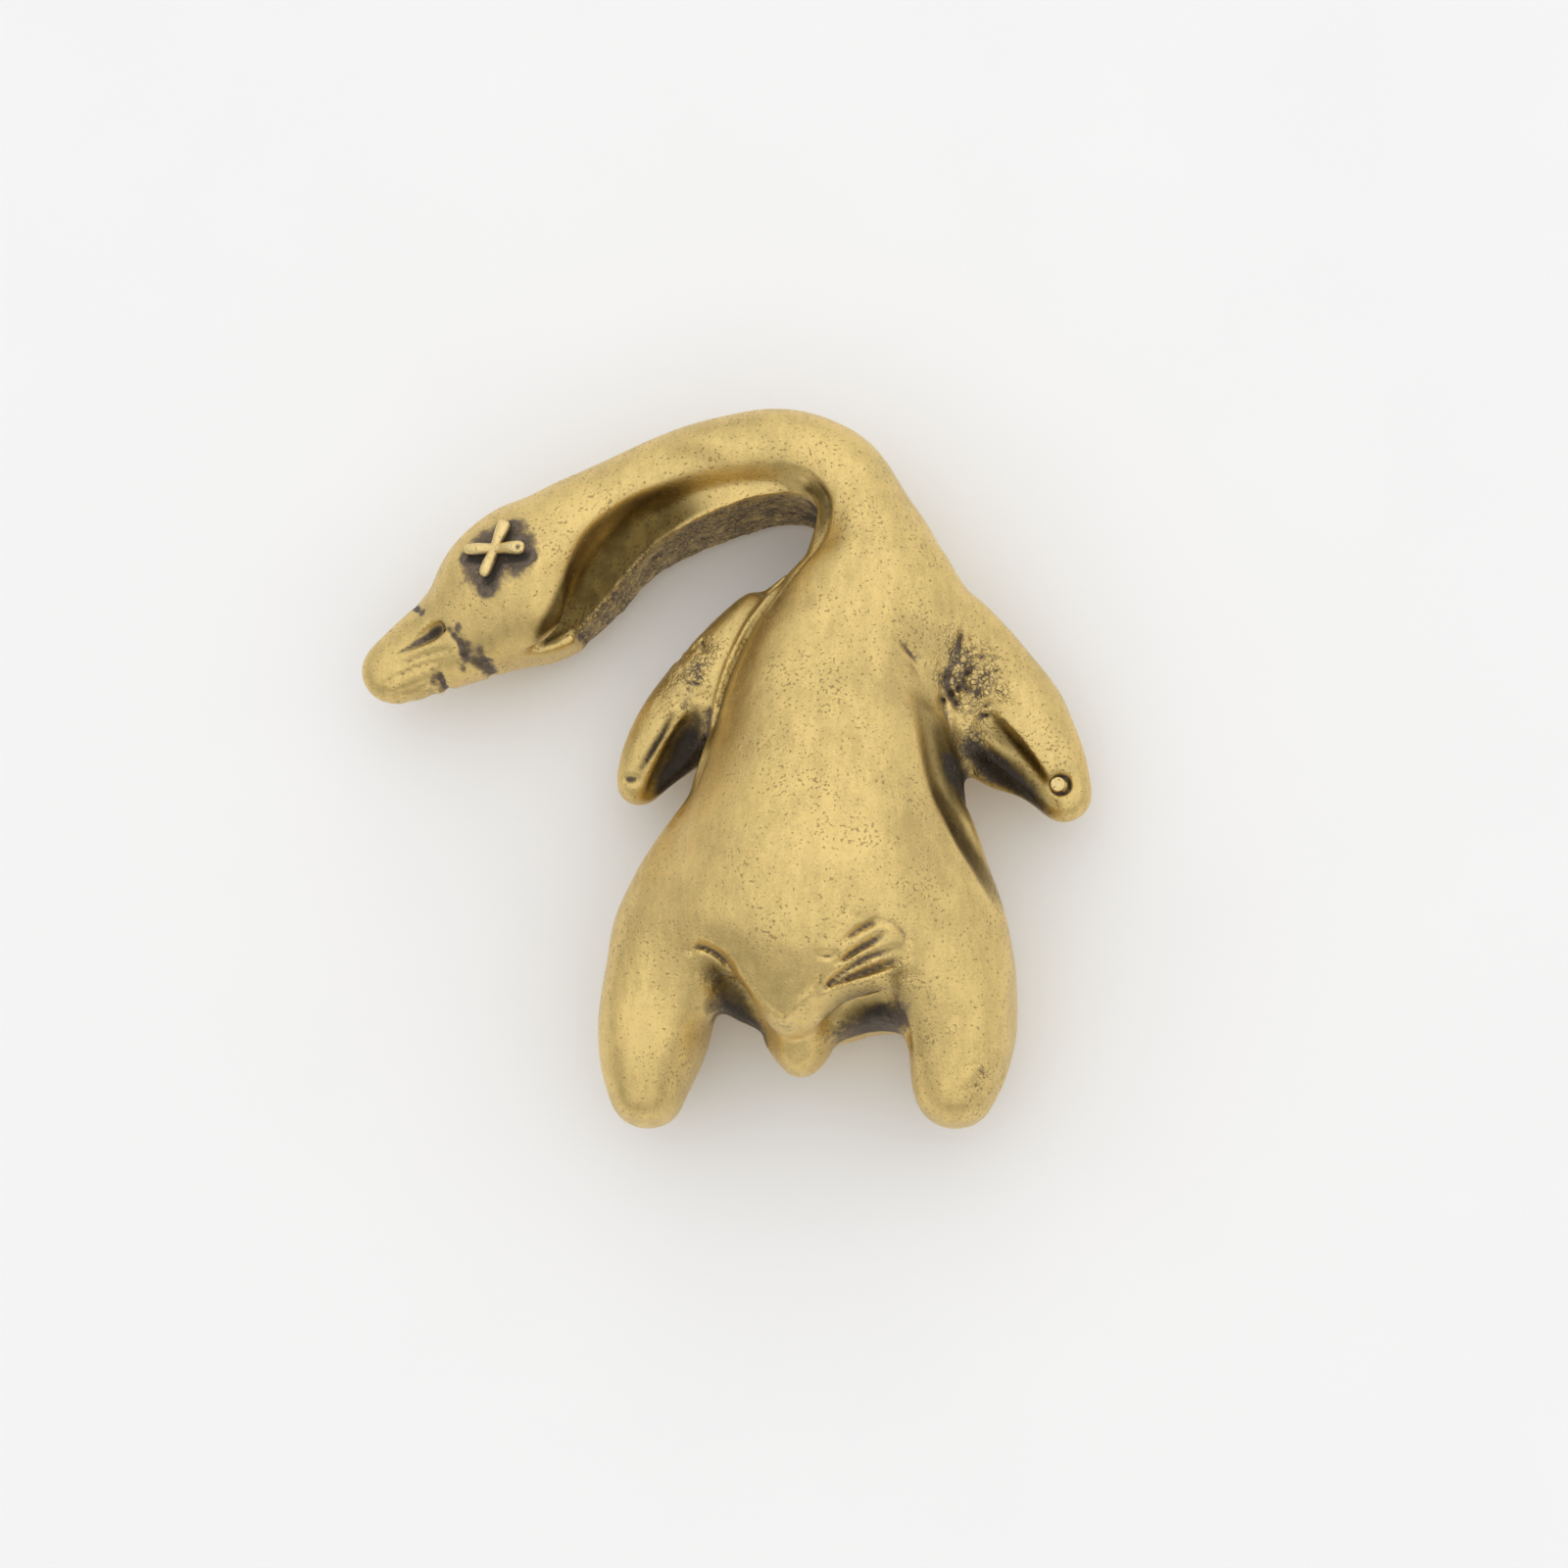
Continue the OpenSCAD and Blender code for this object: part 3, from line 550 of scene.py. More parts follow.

# Painted olive shade in the hollows, and patina in the deepest: each has a path, a width and a strength.
paintedShadeHollows = [
    ([(8.7, 4.4), (9.2, 2.4), (9.7, 0.2), (10.2, -2.0), (10.7, -4.4)], 1.3, 0.95),
    ([(10.2, 2.6), (12.3, 1.6), (13.8, 0.6), (15.2, -0.8), (17.0, -3.0)], 1.3, 1.0),
    ([(12.1, 5.1), (14.2, 2.7), (15.7, 1.0), (17.3, -1.0)], 0.40, 0.95),
    ([(-8.9, 6.2), (-10.1, 3.4), (-11.4, 1.4), (-13.4, -1.2)], 1.2, 1.0),
    ([(-10.7, 5.6), (-11.6, 3.9), (-12.4, 2.8), (-13.9, 0.8)], 0.5, 1.0),
    ([(-8.3, -14.4), (-7.0, -15.5), (-6.1, -16.8), (-5.2, -18.4), (-4.2, -20.0)], 1.1, 1.0),
    ([(0.2, -18.8), (2.6, -17.7), (4.6, -17.4), (6.6, -17.6)], 1.0, 0.75),
    ([(6.4, -14.6), (5.9, -16.6), (5.7, -19.0)], 0.8, 0.55),
    ([(-12.0, 24.4), (-9.2, 24.8), (-6.0, 23.9)], 1.3, 0.42),
]
darkHollows = [
    ([(9.2, 1.6), (10.2, -0.3), (11.2, -2.0)], 0.8, 0.95),
    ([(10.2, 2.4), (12.4, 1.3), (13.8, 0.3), (15.2, -1.1), (17.0, -3.3)], 0.9, 0.85),
    ([(-9.0, 5.6), (-10.2, 2.8), (-11.6, 0.8), (-12.8, -0.8)], 0.9, 0.9),
    ([(-10.9, 5.2), (-12.3, 3.0), (-13.7, 1.1)], 0.22, 0.9),
    ([(-9.4, -17.4), (-7.0, -17.2), (-5.4, -18.4), (-3.8, -20.4)], 0.9, 0.6),
    ([(-0.6, -19.6), (2.2, -18.6), (4.6, -18.2), (7.2, -18.6)], 1.0, 0.7),
]
# Painted shade down the flank, on one side of its edge.
shade(leftWing["flankEdge"][:5], 1.6, 0.55, oneSided=True)
shade(leftWing["flankEdge"][2:], 1.4, 0.9, oneSided=True)
for points, width, strength in paintedShadeHollows:
    shade(points, width, strength)
for points, width, strength in darkHollows:
    shade(points, width, strength, inkPlan)
press(rightWing["ridge"], 0.24, -0.3, above=5.0)
window, off, _, _ = beside(rightWing["ridge"], 1.0)
for plan in (inkPlan, paintedShadePlan):      # the ridge between the slot and the pit is rubbed bright, with less patina and less painted shade
    plan[window] *= 1 - 0.45 * np.exp(-((off / 0.2) ** 2))

# Head and bill: the nostril, the folds at the root of the bill and the mouth.
bill = dict(
    nostril=[
        (-32.2, 10.6, 8.5, 0.12), (-30.8, 11.2, 8.9, 0.4), (-29.3, 11.9, 9.5, 0.65),
        (-28.6, 12.2, 9.9, 0.55),
    ],
    folds=[
        ([(-30.9, 14.6), (-30.5, 14.0), (-30.1, 13.4)], 0.32, 0.24),
        ([(-27.9, 11.9), (-27.1, 11.2), (-26.7, 10.3), (-26.4, 9.8)], 0.30, 0.30),
        ([(-25.8, 10.2), (-25.3, 9.7), (-24.9, 9.3)], 0.34, 0.32),
        ([(-32.6, 9.6), (-29.9, 10.3), (-27.8, 10.6)], 0.17, 0.16),
        ([(-32.0, 10.2), (-29.9, 10.75), (-28.0, 11.1)], 0.26, -0.18),
        ([(-33.2, 8.5), (-31.1, 9.4), (-28.8, 9.9)], 0.20, 0.24),
        ([(-33.2, 8.4), (-33.4, 7.6)], 0.18, 0.14),
        ([(-33.2, 7.6), (-31.0, 8.2), (-29.6, 8.6)], 0.17, 0.14),
        ([(-32.4, 7.3), (-31.7, 7.5), (-31.2, 7.6)], 0.18, 0.20),
        ([(-30.3, 8.0), (-29.5, 8.2)], 0.18, 0.20),
        ([(-28.8, 9.5), (-28.7, 8.8), (-28.8, 8.2)], 0.26, 0.30),
    ],
    above=4.5,       # only what lies higher than this is pressed
    deepFold=0.23,   # deeper folds than this hold less patina, because blots lie in them
)
carve(bill["nostril"], 0.2)
press(bill["nostril"], 0.62, 0.0, above=bill["above"], taper=0.2, ink=0.95, grow=0.75)
for points, width, depth in bill["folds"]:
    ink = max(0.0, min(0.62, depth * 3.2)) * (0.4 if depth > bill["deepFold"] else 1)
    press(points, width, depth, above=bill["above"], ink=ink)

# Each eye is two crossed bars. A groove with dark patina runs round them, with the bars' painted shadow
# mostly below and to their right.
eye = dict(
    bars=((5.0, -5.5), (4.7, 69.0)),     # length and turn of each bar
    width=1.08, lift=0.12, points=72, round=20,
    dimple=(1.95, 0.24, 0.26),           # along the first bar, how deep and how wide
    shadowSeam=(0.42, -0.66),                  # how far the seam and its painted shadow lie off the bars
    seamWidth=0.6, seamDepth=0.10,
)
eyeAt = (np.array(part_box("left_eye")[0]) + np.array(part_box("left_eye")[1])) / 2 / mm
for length, turn in eye["bars"]:
    reach = length / 2 * np.array([math.cos(math.radians(turn)), math.sin(math.radians(turn))])
    shadowSeam = [eyeAt[:2] + reach * t + eye["shadowSeam"] for t in (-1.06, -0.5, 0.0, 0.5, 1.06)]
    press(shadowSeam, eye["seamWidth"], eye["seamDepth"], above=9.0, taper=0.2, ink=1.3)
    # Painted shadow of the bars along the seam.
    shade(shadowSeam, 0.55, 1.8)

# The bone end is a small disc with a raised edge in a small ring. The other wing has a nick instead.
boneEnd = dict(
    ringDepth=0.30, ringWidth=0.16, turns=48,
    profile=[      # radius, and height over the skin
        (0.16, 0.00), (0.30, 0.01), (0.40, 0.04), (0.47, 0.06), (0.53, 0.02), (0.56, -0.06), (0.56, -1.4),
    ],
)
boneLow, boneHigh = [np.array(corner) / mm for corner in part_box("left_wing_bone")]
boneAt = (boneLow + boneHigh) / 2
boneRadius = (boneHigh[0] - boneLow[0]) / 2
ringGap = np.sqrt((planX - boneAt[0]) ** 2 + (planY - boneAt[1]) ** 2)
ringPress = boneEnd["ringDepth"] * np.exp(-(((ringGap - boneRadius) / boneEnd["ringWidth"]) ** 2))
body += ringPress[:, :, None] * step(deepZ, 5.0, 6.0)
press(rightWing["nick"], 0.26, 0.35, above=4.0, taper=0.2, ink=1.0)

# Small lumps all over, and more of them in the rough places and on the wall of the bend.
roughSpots = spots([
    (10.2, 9.6, 1.6), (10.0, 7.4, 1.6), (11.8, 8.6, 1.6), (12.2, 6.8, 1.8), (11.4, 5.2, 1.6),
    (10.9, 3.0, 1.4), (11.2, 1.4, 1.1), (13.4, 5.6, 1.2), (-8.6, 9.8, 1.5), (-9.8, 8.0, 1.6),
    (-11.0, 6.4, 1.5), (11.2, -24.0, 1.1), (12.1, -22.9, 1.2), (12.7, -21.5, 1.0), (6.4, -15.8, 1.0),
    (-7.6, -15.6, 0.9),
])
roughness = roughSpots[:, :, None] * step(deepZ, 5.0, 7.0)
belowLip = step(lipPlan[:, :, None] - deepZ, -0.1, 0.5)
roughness = np.maximum(roughness, wallPlan[:, :, None] * belowLip * 0.55)
body += lumps(4.2, 5) * 0.07 + lumps(1.7, 6) * 0.025
body += (lumps(0.62, 7) * 0.13 + lumps(0.9, 8) * 0.10) * roughness
print("creases pressed")

skin, quads = toGrid(body).convertToQuads(isovalue=0.0)
skin = skin.astype(np.float64)
quads = quads.astype(np.int64)


def sample(field, points):
    # The field's values at points between its cells.
    cell = (points / voxel - lowCell).astype(np.float64)
    base = np.clip(np.floor(cell).astype(int), 0, np.array(shape) - 2)
    f = cell - base
    total = 0
    for dx in (0, 1):
        for dy in (0, 1):
            for dz in (0, 1):
                weight = (
                    (f[:, 0] if dx else 1 - f[:, 0]) * (f[:, 1] if dy else 1 - f[:, 1])
                    * (f[:, 2] if dz else 1 - f[:, 2])
                )
                total = total + weight * field[base[:, 0] + dx, base[:, 1] + dy, base[:, 2] + dz]
    return total


def samplePlan(mask, points):
    return sample(np.broadcast_to(mask[:, :, None], shape), points)


# Dark patina has stayed in creases, on the wall of the bend and round the eyes, and hollows get painted
# olive shade.
stainPlaces = dict(      # spots of x, y and radius
    eye=[
        (-23.9, 16.9, 2.5), (-25.2, 15.9, 1.6), (-22.2, 17.2, 1.6), (-23.5, 18.6, 1.4), (-22.4, 16.3, 1.5),
        (-25.6, 17.0, 1.2), (-24.8, 18.2, 1.4), (-22.4, 18.7, 1.3), (-21.6, 17.9, 1.1), (-24.4, 14.6, 1.1),
    ],
    billRoot=[      # small blots lie round each of these
        (-30.5, 14.2), (-27.5, 11.6), (-26.8, 10.5), (-26.5, 9.9), (-25.3, 9.8), (-24.9, 9.4), (-28.8, 8.7),
    ],
    faint=[
        (-6.2, -16.8, 1.4), (-4.9, -18.4, 1.2), (4.4, -18.0, 1.5), (5.9, -17.7, 1.3), (10.6, -0.4, 1.4),
        (12.4, 0.8, 1.2), (9.8, 6.8, 1.5), (10.0, 5.0, 1.4), (11.0, 2.8, 1.5), (10.2, 8.8, 1.2),
        (11.6, 6.8, 1.4), (-9.4, 8.6, 1.3), (-10.4, 6.8, 1.3), (-10.2, 2.8, 1.4), (-11.6, 1.0, 1.2),
    ],
)
blots = [
    (x + chance.uniform(-0.6, 0.6), y + chance.uniform(-0.7, 0.7), chance.uniform(0.2, 0.45))
    for x, y in stainPlaces["billRoot"] for _ in range(5)
]
creases = np.clip(-sample(soften(body, 0.3), skin) / 0.12 - 0.12, 0, 1)
corners = np.clip((-sample(soften(body, 1.1), skin) - 0.06) / 0.5, 0, 1)
strongStains = samplePlan(spots(stainPlaces["eye"] + blots), skin)
faintStains = samplePlan(spots(stainPlaces["faint"]), skin)
ringPlan = np.exp(-(((ringGap - boneRadius - 0.02) / 0.12) ** 2)).astype(np.float32)
upperSide = step(skin[:, 2], 4.0, 6.0)
stains = (strongStains * 0.75 + faintStains * 0.3) * upperSide
stains = np.maximum(stains, samplePlan(ringPlan, skin) * upperSide * 0.9)
onWallSkin = samplePlan(wallPlan, skin) * step(samplePlan(lipPlan, skin) - skin[:, 2], -0.05, 0.5)
ink = samplePlan(inkPlan, skin) * upperSide
patina = np.clip(np.maximum(creases * 0.65, ink) + corners * 0.12 + stains + onWallSkin * 0.48, 0, 1)
# Painted olive shade from the plan, and in the corners of the skin where shade falls.
paintedShade = np.clip(np.maximum(samplePlan(paintedShadePlan, skin) * upperSide, corners * 1.1), 0, 1)
grit = np.clip(sample(roughness, skin) + onWallSkin * 0.1, 0, 1)
print("patina", round(float(patina.mean()), 3), "paintedShade", round(float(paintedShade.mean()), 3))

low, high = np.array(cadBox[0]) / mm, np.array(cadBox[1]) / mm
skinLow, skinHigh = skin.min(0), skin.max(0)
print("skin", skinLow.round(2), skinHigh.round(2), len(skin), len(quads))
skin = low + (skin - skinLow) * (high - low) / (skinHigh - skinLow)


def cornerNormals(points, faces):
    across = np.cross(points[faces[:, 2]] - points[faces[:, 0]], points[faces[:, 3]] - points[faces[:, 1]])
    out = np.zeros_like(points)
    for k in range(4):
        np.add.at(out, faces[:, k], across)
    return out / np.maximum(np.linalg.norm(out, axis=1), 1e-12)[:, None]


# Each face belongs to the member that it is nearest to, and a member's cut ends are closed inside.
centres = skin[quads].mean(1)
normals = cornerNormals(skin, quads)
if (normals[:, 2] * (skin[:, 2] - skin[:, 2].mean())).sum() < 0:
    quads, normals = quads[:, ::-1], -normals
owner = np.array([sample(memberDistance[name], centres) for name in memberNodes]).argmin(0)


def settle(owner, faces, rounds=12):
    # Edges between members are made plain, so that each cut is one clean loop.
    for _ in range(rounds):
        votes = np.zeros((len(skin), len(memberNodes)))
        for k in range(4):
            np.add.at(votes, (faces[:, k], owner), 1)
        around = votes[faces].sum(1)
        around[np.arange(len(faces)), owner] += 0.5
        owner = around.argmax(1)
    return owner


def rimOf(faces):
    start, end = faces.ravel(), np.roll(faces, -1, axis=1).ravel()
    rim = ~np.isin(start * len(skin) + end, end * len(skin) + start)
    return start[rim], end[rim]


def knots(owner, faces):
    # Corners at which a member's rim touches itself.
    bad = np.zeros(len(skin), bool)
    for index in range(len(memberNodes)):
        start, _ = rimOf(faces[owner == index])
        bad |= np.bincount(start, minlength=len(skin)) > 1
    return bad


owner = settle(owner, quads)
for _ in range(10):
    bad = knots(owner, quads)
    if not bad.any():
        break
    for corner in np.nonzero(bad)[0]:
        touching = np.nonzero((quads == corner).any(1))[0]
        owner[touching] = np.bincount(owner[touching]).argmax()
print("rims settled", int(knots(owner, quads).sum()))


def closedPart(index):
    # One member's share of the skin, with a fan of triangles over each cut end.
    mine = quads[owner == index]
    following = dict(zip(*(ends.tolist() for ends in rimOf(mine))))
    used, faces = np.unique(mine, return_inverse=True)
    points, vectors = [*skin[used]], [*normals[used]]
    paint = {"patina": [*patina[used]], "paintedShade": [*paintedShade[used]], "grit": [*grit[used]]}
    place = {corner: i for i, corner in enumerate(used.tolist())}
    caps = []
    while following:
        loop, corner = [], next(iter(following))
        while corner in following:
            loop.append(corner)
            corner = following.pop(corner)
        points.append(skin[loop].mean(0))
        vectors.append(np.array([0, 0, 1.0]))
        for values in paint.values():
            values.append(1.0)
        hub = len(points) - 1
        for a, b in zip(loop, loop[1:] + loop[:1]):
            caps.append((place[b], place[a], hub))
    return np.array(points), np.array(vectors), faces.reshape(mine.shape), caps, paint


def makePiece(name, points, faces, vectors=None):
    mesh = bpy.data.meshes.new(name)
    mesh.from_pydata((np.array(points) * mm).tolist(), [], faces)
    mesh.update()
    mesh.polygons.foreach_set("use_smooth", np.ones(len(mesh.polygons), bool))
    if vectors is not None:
        mesh.normals_split_custom_set_from_vertices(vectors.tolist())
    piece = bpy.data.objects.new(name, mesh)
    bpy.context.scene.collection.objects.link(piece)
    return piece


pieces = {}
for index, name in enumerate(memberNodes):
    points, vectors, faces, caps, paint = closedPart(index)
    piece = makePiece("cast_" + name, points, faces.tolist() + caps, vectors)
    for title, values in paint.items():
        layer = piece.data.attributes.new(title, "FLOAT", "POINT")
        layer.data.foreach_set("value", np.array(values, np.float32))
    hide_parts(name)
    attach(piece, "root")
    pieces[name] = piece
    print("cut", name, len(faces), "faces", len(caps), "cap faces")


# A Wire is one socket, and sums on wires make Math nodes. A Bench is one tree of nodes.
class Wire:
    def __init__(self, bench, socket):
        self.bench, self.socket = bench, socket

    def join(self, other, operation, flip=False):
        pair = (other, self) if flip else (self, other)
        return self.bench.node("ShaderNodeMath", dict(operation=operation), {0: pair[0], 1: pair[1]})

    def __add__(self, other):
        return self.join(other, "ADD")

    def __radd__(self, other):
        return self.join(other, "ADD", True)

    def __sub__(self, other):
        return self.join(other, "SUBTRACT")

    def __rsub__(self, other):
        return self.join(other, "SUBTRACT", True)

    def __mul__(self, other):
        return self.join(other, "MULTIPLY")

    def __rmul__(self, other):
        return self.join(other, "MULTIPLY", True)

    def __truediv__(self, other):
        return self.join(other, "DIVIDE")

    def between(self, low, high):
        return self.bench.node(
            "ShaderNodeMapRange", dict(interpolation_type="SMOOTHSTEP"),
            {"Value": self, "From Min": low, "From Max": high, "To Min": 0.0, "To Max": 1.0},
        )


class Bench:
    def __init__(self, tree):
        self.tree = tree
        tree.nodes.clear()

    def node(self, kind, settings=None, values=None, out=0):
        made = self.tree.nodes.new(kind)
        for key, value in (settings or {}).items():
            setattr(made, key, value)
        for key, value in (values or {}).items():
            socket = made.inputs[key]
            if isinstance(value, Wire):
                self.tree.links.new(value.socket, socket)
            else:
                socket.default_value = value
        return Wire(self, made.outputs[out]) if made.outputs else made

    def attribute(self, name):
        return self.node("ShaderNodeAttribute", dict(attribute_name=name), out="Fac")

    def blend(self, share, a, b):
        return self.node(
            "ShaderNodeMix", dict(data_type="RGBA"), {"Factor": share, 6: a, 7: b}, out=2
        )

    def noise(self, place, scale, detail=2.0, roughness=0.5, out=0):
        return self.node(
            "ShaderNodeTexNoise", None,
            {"Vector": place, "Scale": scale, "Detail": detail, "Roughness": roughness}, out=out,
        )


# The brass is dull in places and rubbed in others, with fine pits, cracks and dark patina, and painted
# olive shade in its hollows.
finish = dict(
    cast=(0.78, 0.58, 0.23), rubbed=(0.88, 0.68, 0.31),
    dull=0.80, bright=1.06,                # how much darker and lighter than that the metal gets
    # The olive pair is painted shade for the hollows; patina under painted shade turns to the shaded
    # patina.
    shadeOlive=((0.070, 0.044, 0.012, 1), (0.14, 0.092, 0.026, 1)),
    patina=((0.040, 0.028, 0.024, 1), (0.155, 0.115, 0.092, 1)),
    shadedPatina=(0.014, 0.010, 0.006, 1),
    pit=(0.150, 0.100, 0.045, 1),
    crumple=(0.0006, 0.0006, 0.0006),      # how far the cracks wander, in metres
    relief=0.00007,                        # height of the fine relief, in metres
)


def antiqueBrass(name, tone, stain):
    # Layers from the metal up: tone, painted olive shade in the hollows, patina and cracks, and pits.
    material = bpy.data.materials.new(name)
    material.use_nodes = True
    bench = Bench(material.node_tree)
    place = bench.node("ShaderNodeTexCoord", out="Object")
    grit = bench.attribute("grit")
    along = bench.node("ShaderNodeVectorMath", dict(operation="MULTIPLY"), {0: place, 1: (1.0, 0.3, 0.5)})
    clouds = bench.noise(place, 170.0, 3.0)
    fine = bench.noise(place, 2000.0, 4.0, 0.7)
    grain = bench.noise(place, 5200.0, 2.0, 0.6)
    mottle = bench.noise(place, 520.0, 3.0, 0.6)
    streaks = bench.noise(along, 1500.0, 3.0, 0.65)
    dull, bright = [(*[c * finish[k] for c in tone], 1.0) for k in ("dull", "bright")]
    shades = clouds * 0.30 + mottle * 0.20 + streaks * 0.25 + grain * 0.25
    colour = bench.blend(shades.between(0.39, 0.60), dull, bright)
    # Painted olive shade, from the skin's painted-shade attribute.
    paintedShade = bench.attribute("paintedShade") + (mottle - 0.5) * 0.25 + (streaks - 0.5) * 0.3
    paintedShade = paintedShade.between(0.12, 0.85)
    colour = bench.blend(paintedShade * 0.95, colour, bench.blend(mottle.between(0.35, 0.65), *finish["shadeOlive"]))
    crowd = bench.noise(place, 260.0, 3.0, 0.6).between(0.44, 0.68)
    pits = (bench.noise(place, 4200.0, 1.0) + crowd * 0.09 + grit * 0.06).between(0.64, 0.78)
    wrinkled = bench.node(
        "ShaderNodeVectorMath", dict(operation="MULTIPLY_ADD"),
        {0: bench.noise(place, 1400.0, 2.0, out="Color"), 1: finish["crumple"], 2: place},
    )
    cells = bench.node(
        "ShaderNodeTexVoronoi", dict(feature="DISTANCE_TO_EDGE"), {"Vector": wrinkled, "Scale": 2300.0}
    )
    cracks = (1 - cells.between(0.02, 0.16)) * grit.between(0.15, 0.75) * mottle.between(0.36, 0.56)
    patina = bench.attribute("patina") * stain
    broken = patina * 1.3 + (fine - 0.5) * 1.2 + (mottle - 0.5) * 0.4 + cracks * 0.35
    broken = broken.between(0.28, 0.98)
    dark = bench.blend(fine.between(0.35, 0.65), *finish["patina"])
    # Patina under painted shade turns almost black.
    dark = bench.blend(paintedShade * 0.9, dark, finish["shadedPatina"])
    colour = bench.blend(broken * 0.95, colour, dark)
    colour = bench.blend(pits * 0.48, colour, finish["pit"])
    rough = 0.40 + (clouds - 0.5) * 0.10 + (fine - 0.5) * 0.12 + broken * 0.20 + pits * 0.15
    metal = 1 - broken * 0.6 - pits * 0.25
    height = (fine - 0.5) * (0.7 + grit * 2.0) - pits + (mottle - 0.5) * (0.9 + grit * 2.0) - cracks * 1.4
    bump = bench.node(
        "ShaderNodeBump", None, {"Strength": 0.6, "Distance": finish["relief"], "Height": height}
    )
    shader = bench.node(
        "ShaderNodeBsdfPrincipled", None,
        {"Base Color": colour, "Metallic": metal, "Roughness": rough, "Normal": bump},
    )
    bench.node("ShaderNodeOutputMaterial", None, {"Surface": shader})
    return material


castBrass = antiqueBrass("antique brass", finish["cast"], 1.0)
wornBrass = antiqueBrass("rubbed brass", finish["rubbed"], 0.8)
for piece in pieces.values():
    piece.data.materials.append(castBrass)


# The bars have thick round ends, and follow the skin of the head.
def barTree():
    tree = bpy.data.node_groups.new("crossed bars", "GeometryNodeTree")
    socketOf = {}
    for name, kind in [
        ("Head", "NodeSocketObject"), ("Middle", "NodeSocketVector"), ("Side", "NodeSocketFloat"),
        ("Width", "NodeSocketFloat"), ("Lift", "NodeSocketFloat"), ("Metal", "NodeSocketMaterial"),
        ("First length", "NodeSocketFloat"), ("First turn", "NodeSocketFloat"),
        ("Second length", "NodeSocketFloat"), ("Second turn", "NodeSocketFloat"),
    ]:
        socketOf[name] = tree.interface.new_socket(name, in_out="INPUT", socket_type=kind).identifier
    tree.interface.new_socket("Bars", in_out="OUTPUT", socket_type="NodeSocketGeometry")
    bench = Bench(tree)
    given = tree.nodes.new("NodeGroupInput")
    wire = {name: Wire(bench, given.outputs[name]) for name in socketOf}
    head = bench.node("GeometryNodeObjectInfo", None, {"Object": wire["Head"]}, out="Geometry")
    ring = bench.node(
        "GeometryNodeCurvePrimitiveCircle", None, {"Resolution": eye["round"], "Radius": wire["Width"] / 2}
    )
    joined = bench.node("GeometryNodeJoinGeometry")
    for which in ("First", "Second"):
        length = wire[which + " length"]
        start, end = [
            bench.node("ShaderNodeCombineXYZ", None, {"X": length * half}) for half in (-0.5, 0.5)
        ]
        line = bench.node("GeometryNodeCurvePrimitiveLine", None, {"Start": start, "End": end})
        line = bench.node("GeometryNodeResampleCurve", None, {"Curve": line, "Count": eye["points"]})
        turned = bench.node(
            "ShaderNodeVectorRotate", dict(rotation_type="Z_AXIS"),
            {"Vector": bench.node("GeometryNodeInputPosition"), "Angle": wire[which + " turn"]},
        )
        over = bench.node("ShaderNodeCombineXYZ", None, {"Z": wire["Side"] * 0.01})
        placed = bench.node("ShaderNodeVectorMath", dict(operation="ADD"), {0: turned, 1: wire["Middle"]})
        above = bench.node("ShaderNodeVectorMath", dict(operation="ADD"), {0: placed, 1: over})
        down = bench.node("ShaderNodeCombineXYZ", None, {"Z": wire["Side"] * -1})
        hit = bench.node(
            "GeometryNodeRaycast", None,
            {"Target Geometry": head, "Source Position": above, "Ray Direction": down, "Ray Length": 0.03},
            out="Hit Position",
        )
        lifted = bench.node("ShaderNodeCombineXYZ", None, {"Z": wire["Side"] * wire["Lift"]})
        resting = bench.node("ShaderNodeVectorMath", dict(operation="ADD"), {0: hit, 1: lifted})
        line = bench.node("GeometryNodeSetPosition", None, {"Geometry": line, "Position": resting})
        along = bench.node("GeometryNodeSplineParameter", out="Factor") * 2 - 1
        away = along.join(0.0, "ABSOLUTE")
        tip = ((away - 0.80) / 0.20).join(0.0, "MAXIMUM")
        slim = along.between(-1.0, -0.3) * 0.22 + 0.78
        thick = (away.between(0.15, 0.75) * 0.24 + 0.78) * slim * (1.001 - tip * tip).join(0.5, "POWER")
        bar = bench.node(
            "GeometryNodeCurveToMesh", None,
            {"Curve": line, "Profile Curve": ring, "Scale": thick, "Fill Caps": True},
        )
        tree.links.new(bar.socket, joined.socket.node.inputs[0])
    smooth = bench.node("GeometryNodeSetShadeSmooth", None, {0: joined})
    solid = bench.node("GeometryNodeRealizeInstances", None, {0: smooth})
    dressed = bench.node("GeometryNodeSetMaterial", None, {"Geometry": solid, "Material": wire["Metal"]})
    tree.links.new(dressed.socket, tree.nodes.new("NodeGroupOutput").inputs[0])
    return tree, socketOf


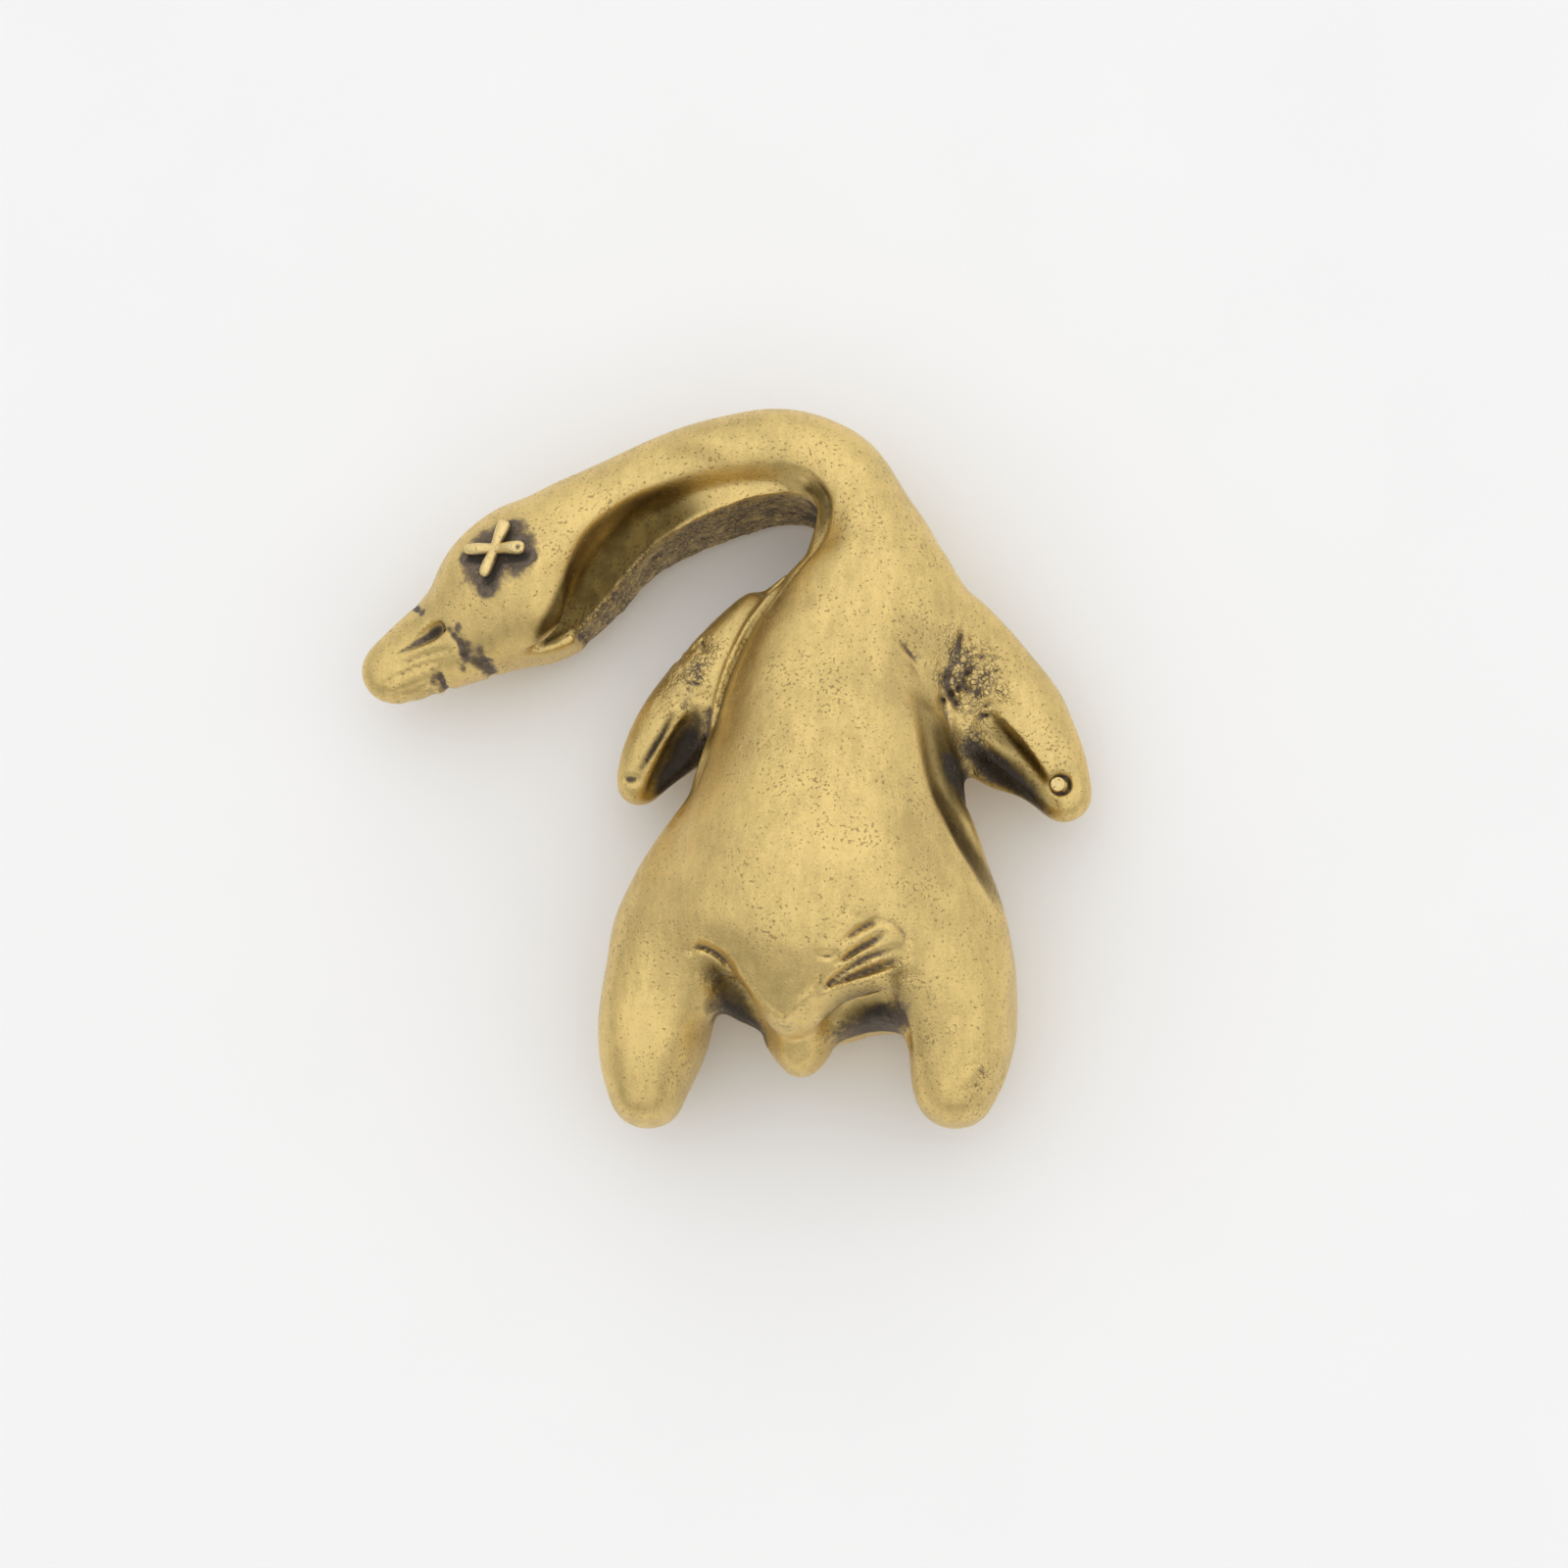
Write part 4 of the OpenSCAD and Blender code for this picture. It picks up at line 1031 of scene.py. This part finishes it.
crossedBars, barSockets = barTree()
for name, side in (("left_eye", 1.0), ("right_eye", -1.0)):
    low, high = [np.array(corner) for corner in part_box(name)]
    middle = (low + high) / 2
    piece = makePiece("bars_" + name, [(0, 0, 0)], [])
    modifier = piece.modifiers.new("crossed bars", "NODES")
    modifier.node_group = crossedBars
    (firstLength, firstTurn), (secondLength, secondTurn) = eye["bars"]
    for title, value in {
        "Head": pieces["head"], "Middle": middle.tolist(), "Side": side, "Width": eye["width"] * mm,
        "Lift": eye["lift"] * mm, "Metal": wornBrass, "First length": firstLength * mm,
        "First turn": math.radians(firstTurn), "Second length": secondLength * mm,
        "Second turn": math.radians(secondTurn),
    }.items():
        modifier[barSockets[title]] = value
    finished = bpy.data.meshes.new_from_object(piece.evaluated_get(bpy.context.evaluated_depsgraph_get()))
    piece.modifiers.clear()
    piece.data = finished
    along, deep, wide = eye["dimple"]
    turn = math.radians(firstTurn)
    dent = middle[:2] / mm + along * np.array([math.cos(turn), math.sin(turn)])
    bars = np.zeros(len(finished.vertices) * 3)
    finished.vertices.foreach_get("co", bars)
    bars = bars.reshape(-1, 3) / mm
    inDent = np.exp(-(((bars[:, :2] - dent) ** 2).sum(1) / wide**2))
    slope = np.array([vertex.normal[2] * side for vertex in finished.vertices])
    bars[:, 2] -= side * deep * inDent * (slope > 0)
    finished.vertices.foreach_set("co", (bars * mm).ravel())
    inSeam = np.clip(step(0.62 - slope, 0, 0.5) + inDent * 0.9, 0, 1)      # dark low on the sides
    layer = finished.attributes.new("patina", "FLOAT", "POINT")
    layer.data.foreach_set("value", inSeam.astype(np.float32))
    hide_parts(name)
    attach(piece, "root")
    print("bars", name, len(finished.vertices))

# The disc of the bone end is turned from its profile.
boneSkin = float(skin[np.hypot(*(skin[:, :2] - boneAt[:2]).T) < 0.3][:, 2].max())
turns = boneEnd["turns"]
rim = [
    (
        boneAt[0] + radius * math.cos(2 * math.pi * k / turns),
        boneAt[1] + radius * math.sin(2 * math.pi * k / turns),
        boneSkin + rise,
    )
    for radius, rise in boneEnd["profile"] for k in range(turns)
]
boneFaces = [
    (first + k, first + turns + k, first + turns + (k + 1) % turns, first + (k + 1) % turns)
    for first in range(0, len(rim) - turns, turns) for k in range(turns)
]
boneFaces += [tuple(range(turns)), tuple(reversed(range(len(rim) - turns, len(rim))))]
bone = makePiece("bone_end", rim, boneFaces)
bone.data.materials.append(wornBrass)
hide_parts("left_wing_bone")
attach(bone, "root")

# Floor, light and camera, in metres.
studio = dict(
    floor=1.6, floorTone=(0.92, 0.92, 0.92, 1), floorShade=(0.95, 0.95, 0.95, 1),
    lamp=0.9, lampAt=(0.15, 0.25, 0.6), lampPower=0.35,
    sky=(1.0, 1.0, 1.0, 1), skyLow=0.25, skyHigh=0.98, horizon=(-0.10, 0.50), lean=(0.06, 0.16, 1.0),
)
half = studio["floor"] / 2
floor = makePiece(
    "floor", np.array([(-half, -half, 0), (half, -half, 0), (half, half, 0), (-half, half, 0)]) / mm,
    [(0, 1, 2, 3)],
)
paperMaterial = bpy.data.materials.new("floor paper")
paperMaterial.use_nodes = True
paper = Bench(paperMaterial.node_tree)
paperGrain = paper.noise(paper.node("ShaderNodeTexCoord", out="Object"), 60.0, 3.0)
paperTone = paper.blend(paperGrain, studio["floorTone"], studio["floorShade"])
paper.node("ShaderNodeOutputMaterial", None, {
    "Surface": paper.node("ShaderNodeBsdfPrincipled", None, {"Base Color": paperTone, "Roughness": 0.9})
})
floor.data.materials.append(paperMaterial)

lamp = bpy.data.lights.new("soft light", "AREA")
lamp.shape, lamp.size, lamp.size_y = "RECTANGLE", studio["lamp"], studio["lamp"]
lamp.energy = studio["lampPower"]
lampObject = bpy.data.objects.new("soft light", lamp)
lampObject.location = studio["lampAt"]
lampObject.rotation_euler = Vector(studio["lampAt"]).to_track_quat("Z", "Y").to_euler()
bpy.context.scene.collection.objects.link(lampObject)
world = bpy.data.worlds.new("studio")
world.use_nodes = True
tent = Bench(world.node_tree)      # a light tent that is darker near the horizon
height = tent.node(
    "ShaderNodeVectorMath", dict(operation="DOT_PRODUCT"),
    {0: tent.node("ShaderNodeTexCoord", out="Generated"), 1: studio["lean"]}, out="Value",
)
glow = height.between(*studio["horizon"]) * (studio["skyHigh"] - studio["skyLow"]) + studio["skyLow"]
tent.node("ShaderNodeOutputWorld", None, {
    "Surface": tent.node("ShaderNodeBackground", None, {"Color": studio["sky"], "Strength": glow})
})
bpy.context.scene.world = world
bpy.context.scene.view_settings.view_transform = "Standard"

# The photo's camera stands a little in front of straight above.
shot = dict(
    towards=Vector((0.10, -0.22, 0.97)).normalized(),
    target=Vector((0.0, 0.0, 0.010)),
    distance=0.260,
    perMm=13.8,               # picture points to the millimetre at the target
    spot=(835.0, 792.0),      # where the target falls in the 1600 x 1600 picture
    side=1600.0,
)
right = Vector((0, 1, 0)).cross(shot["towards"]).normalized()
upward = shot["towards"].cross(right)
slide = [(shot["spot"][0] - shot["side"] / 2), (shot["side"] / 2 - shot["spot"][1])]
camera = bpy.data.cameras.new("camera")
camera.sensor_width = 36.0
camera.lens = 36.0 * shot["distance"] / (shot["side"] / shot["perMm"] * mm)
camera.clip_start = 0.01
cameraObject = bpy.data.objects.new("camera", camera)
cameraObject.location = (
    shot["target"] + shot["towards"] * shot["distance"]
    - (right * slide[0] + upward * slide[1]) / shot["perMm"] * mm
)
cameraObject.rotation_mode = "QUATERNION"
cameraObject.rotation_quaternion = Matrix((right, upward, shot["towards"])).transposed().to_quaternion()
bpy.context.scene.collection.objects.link(cameraObject)
bpy.context.scene.camera = cameraObject
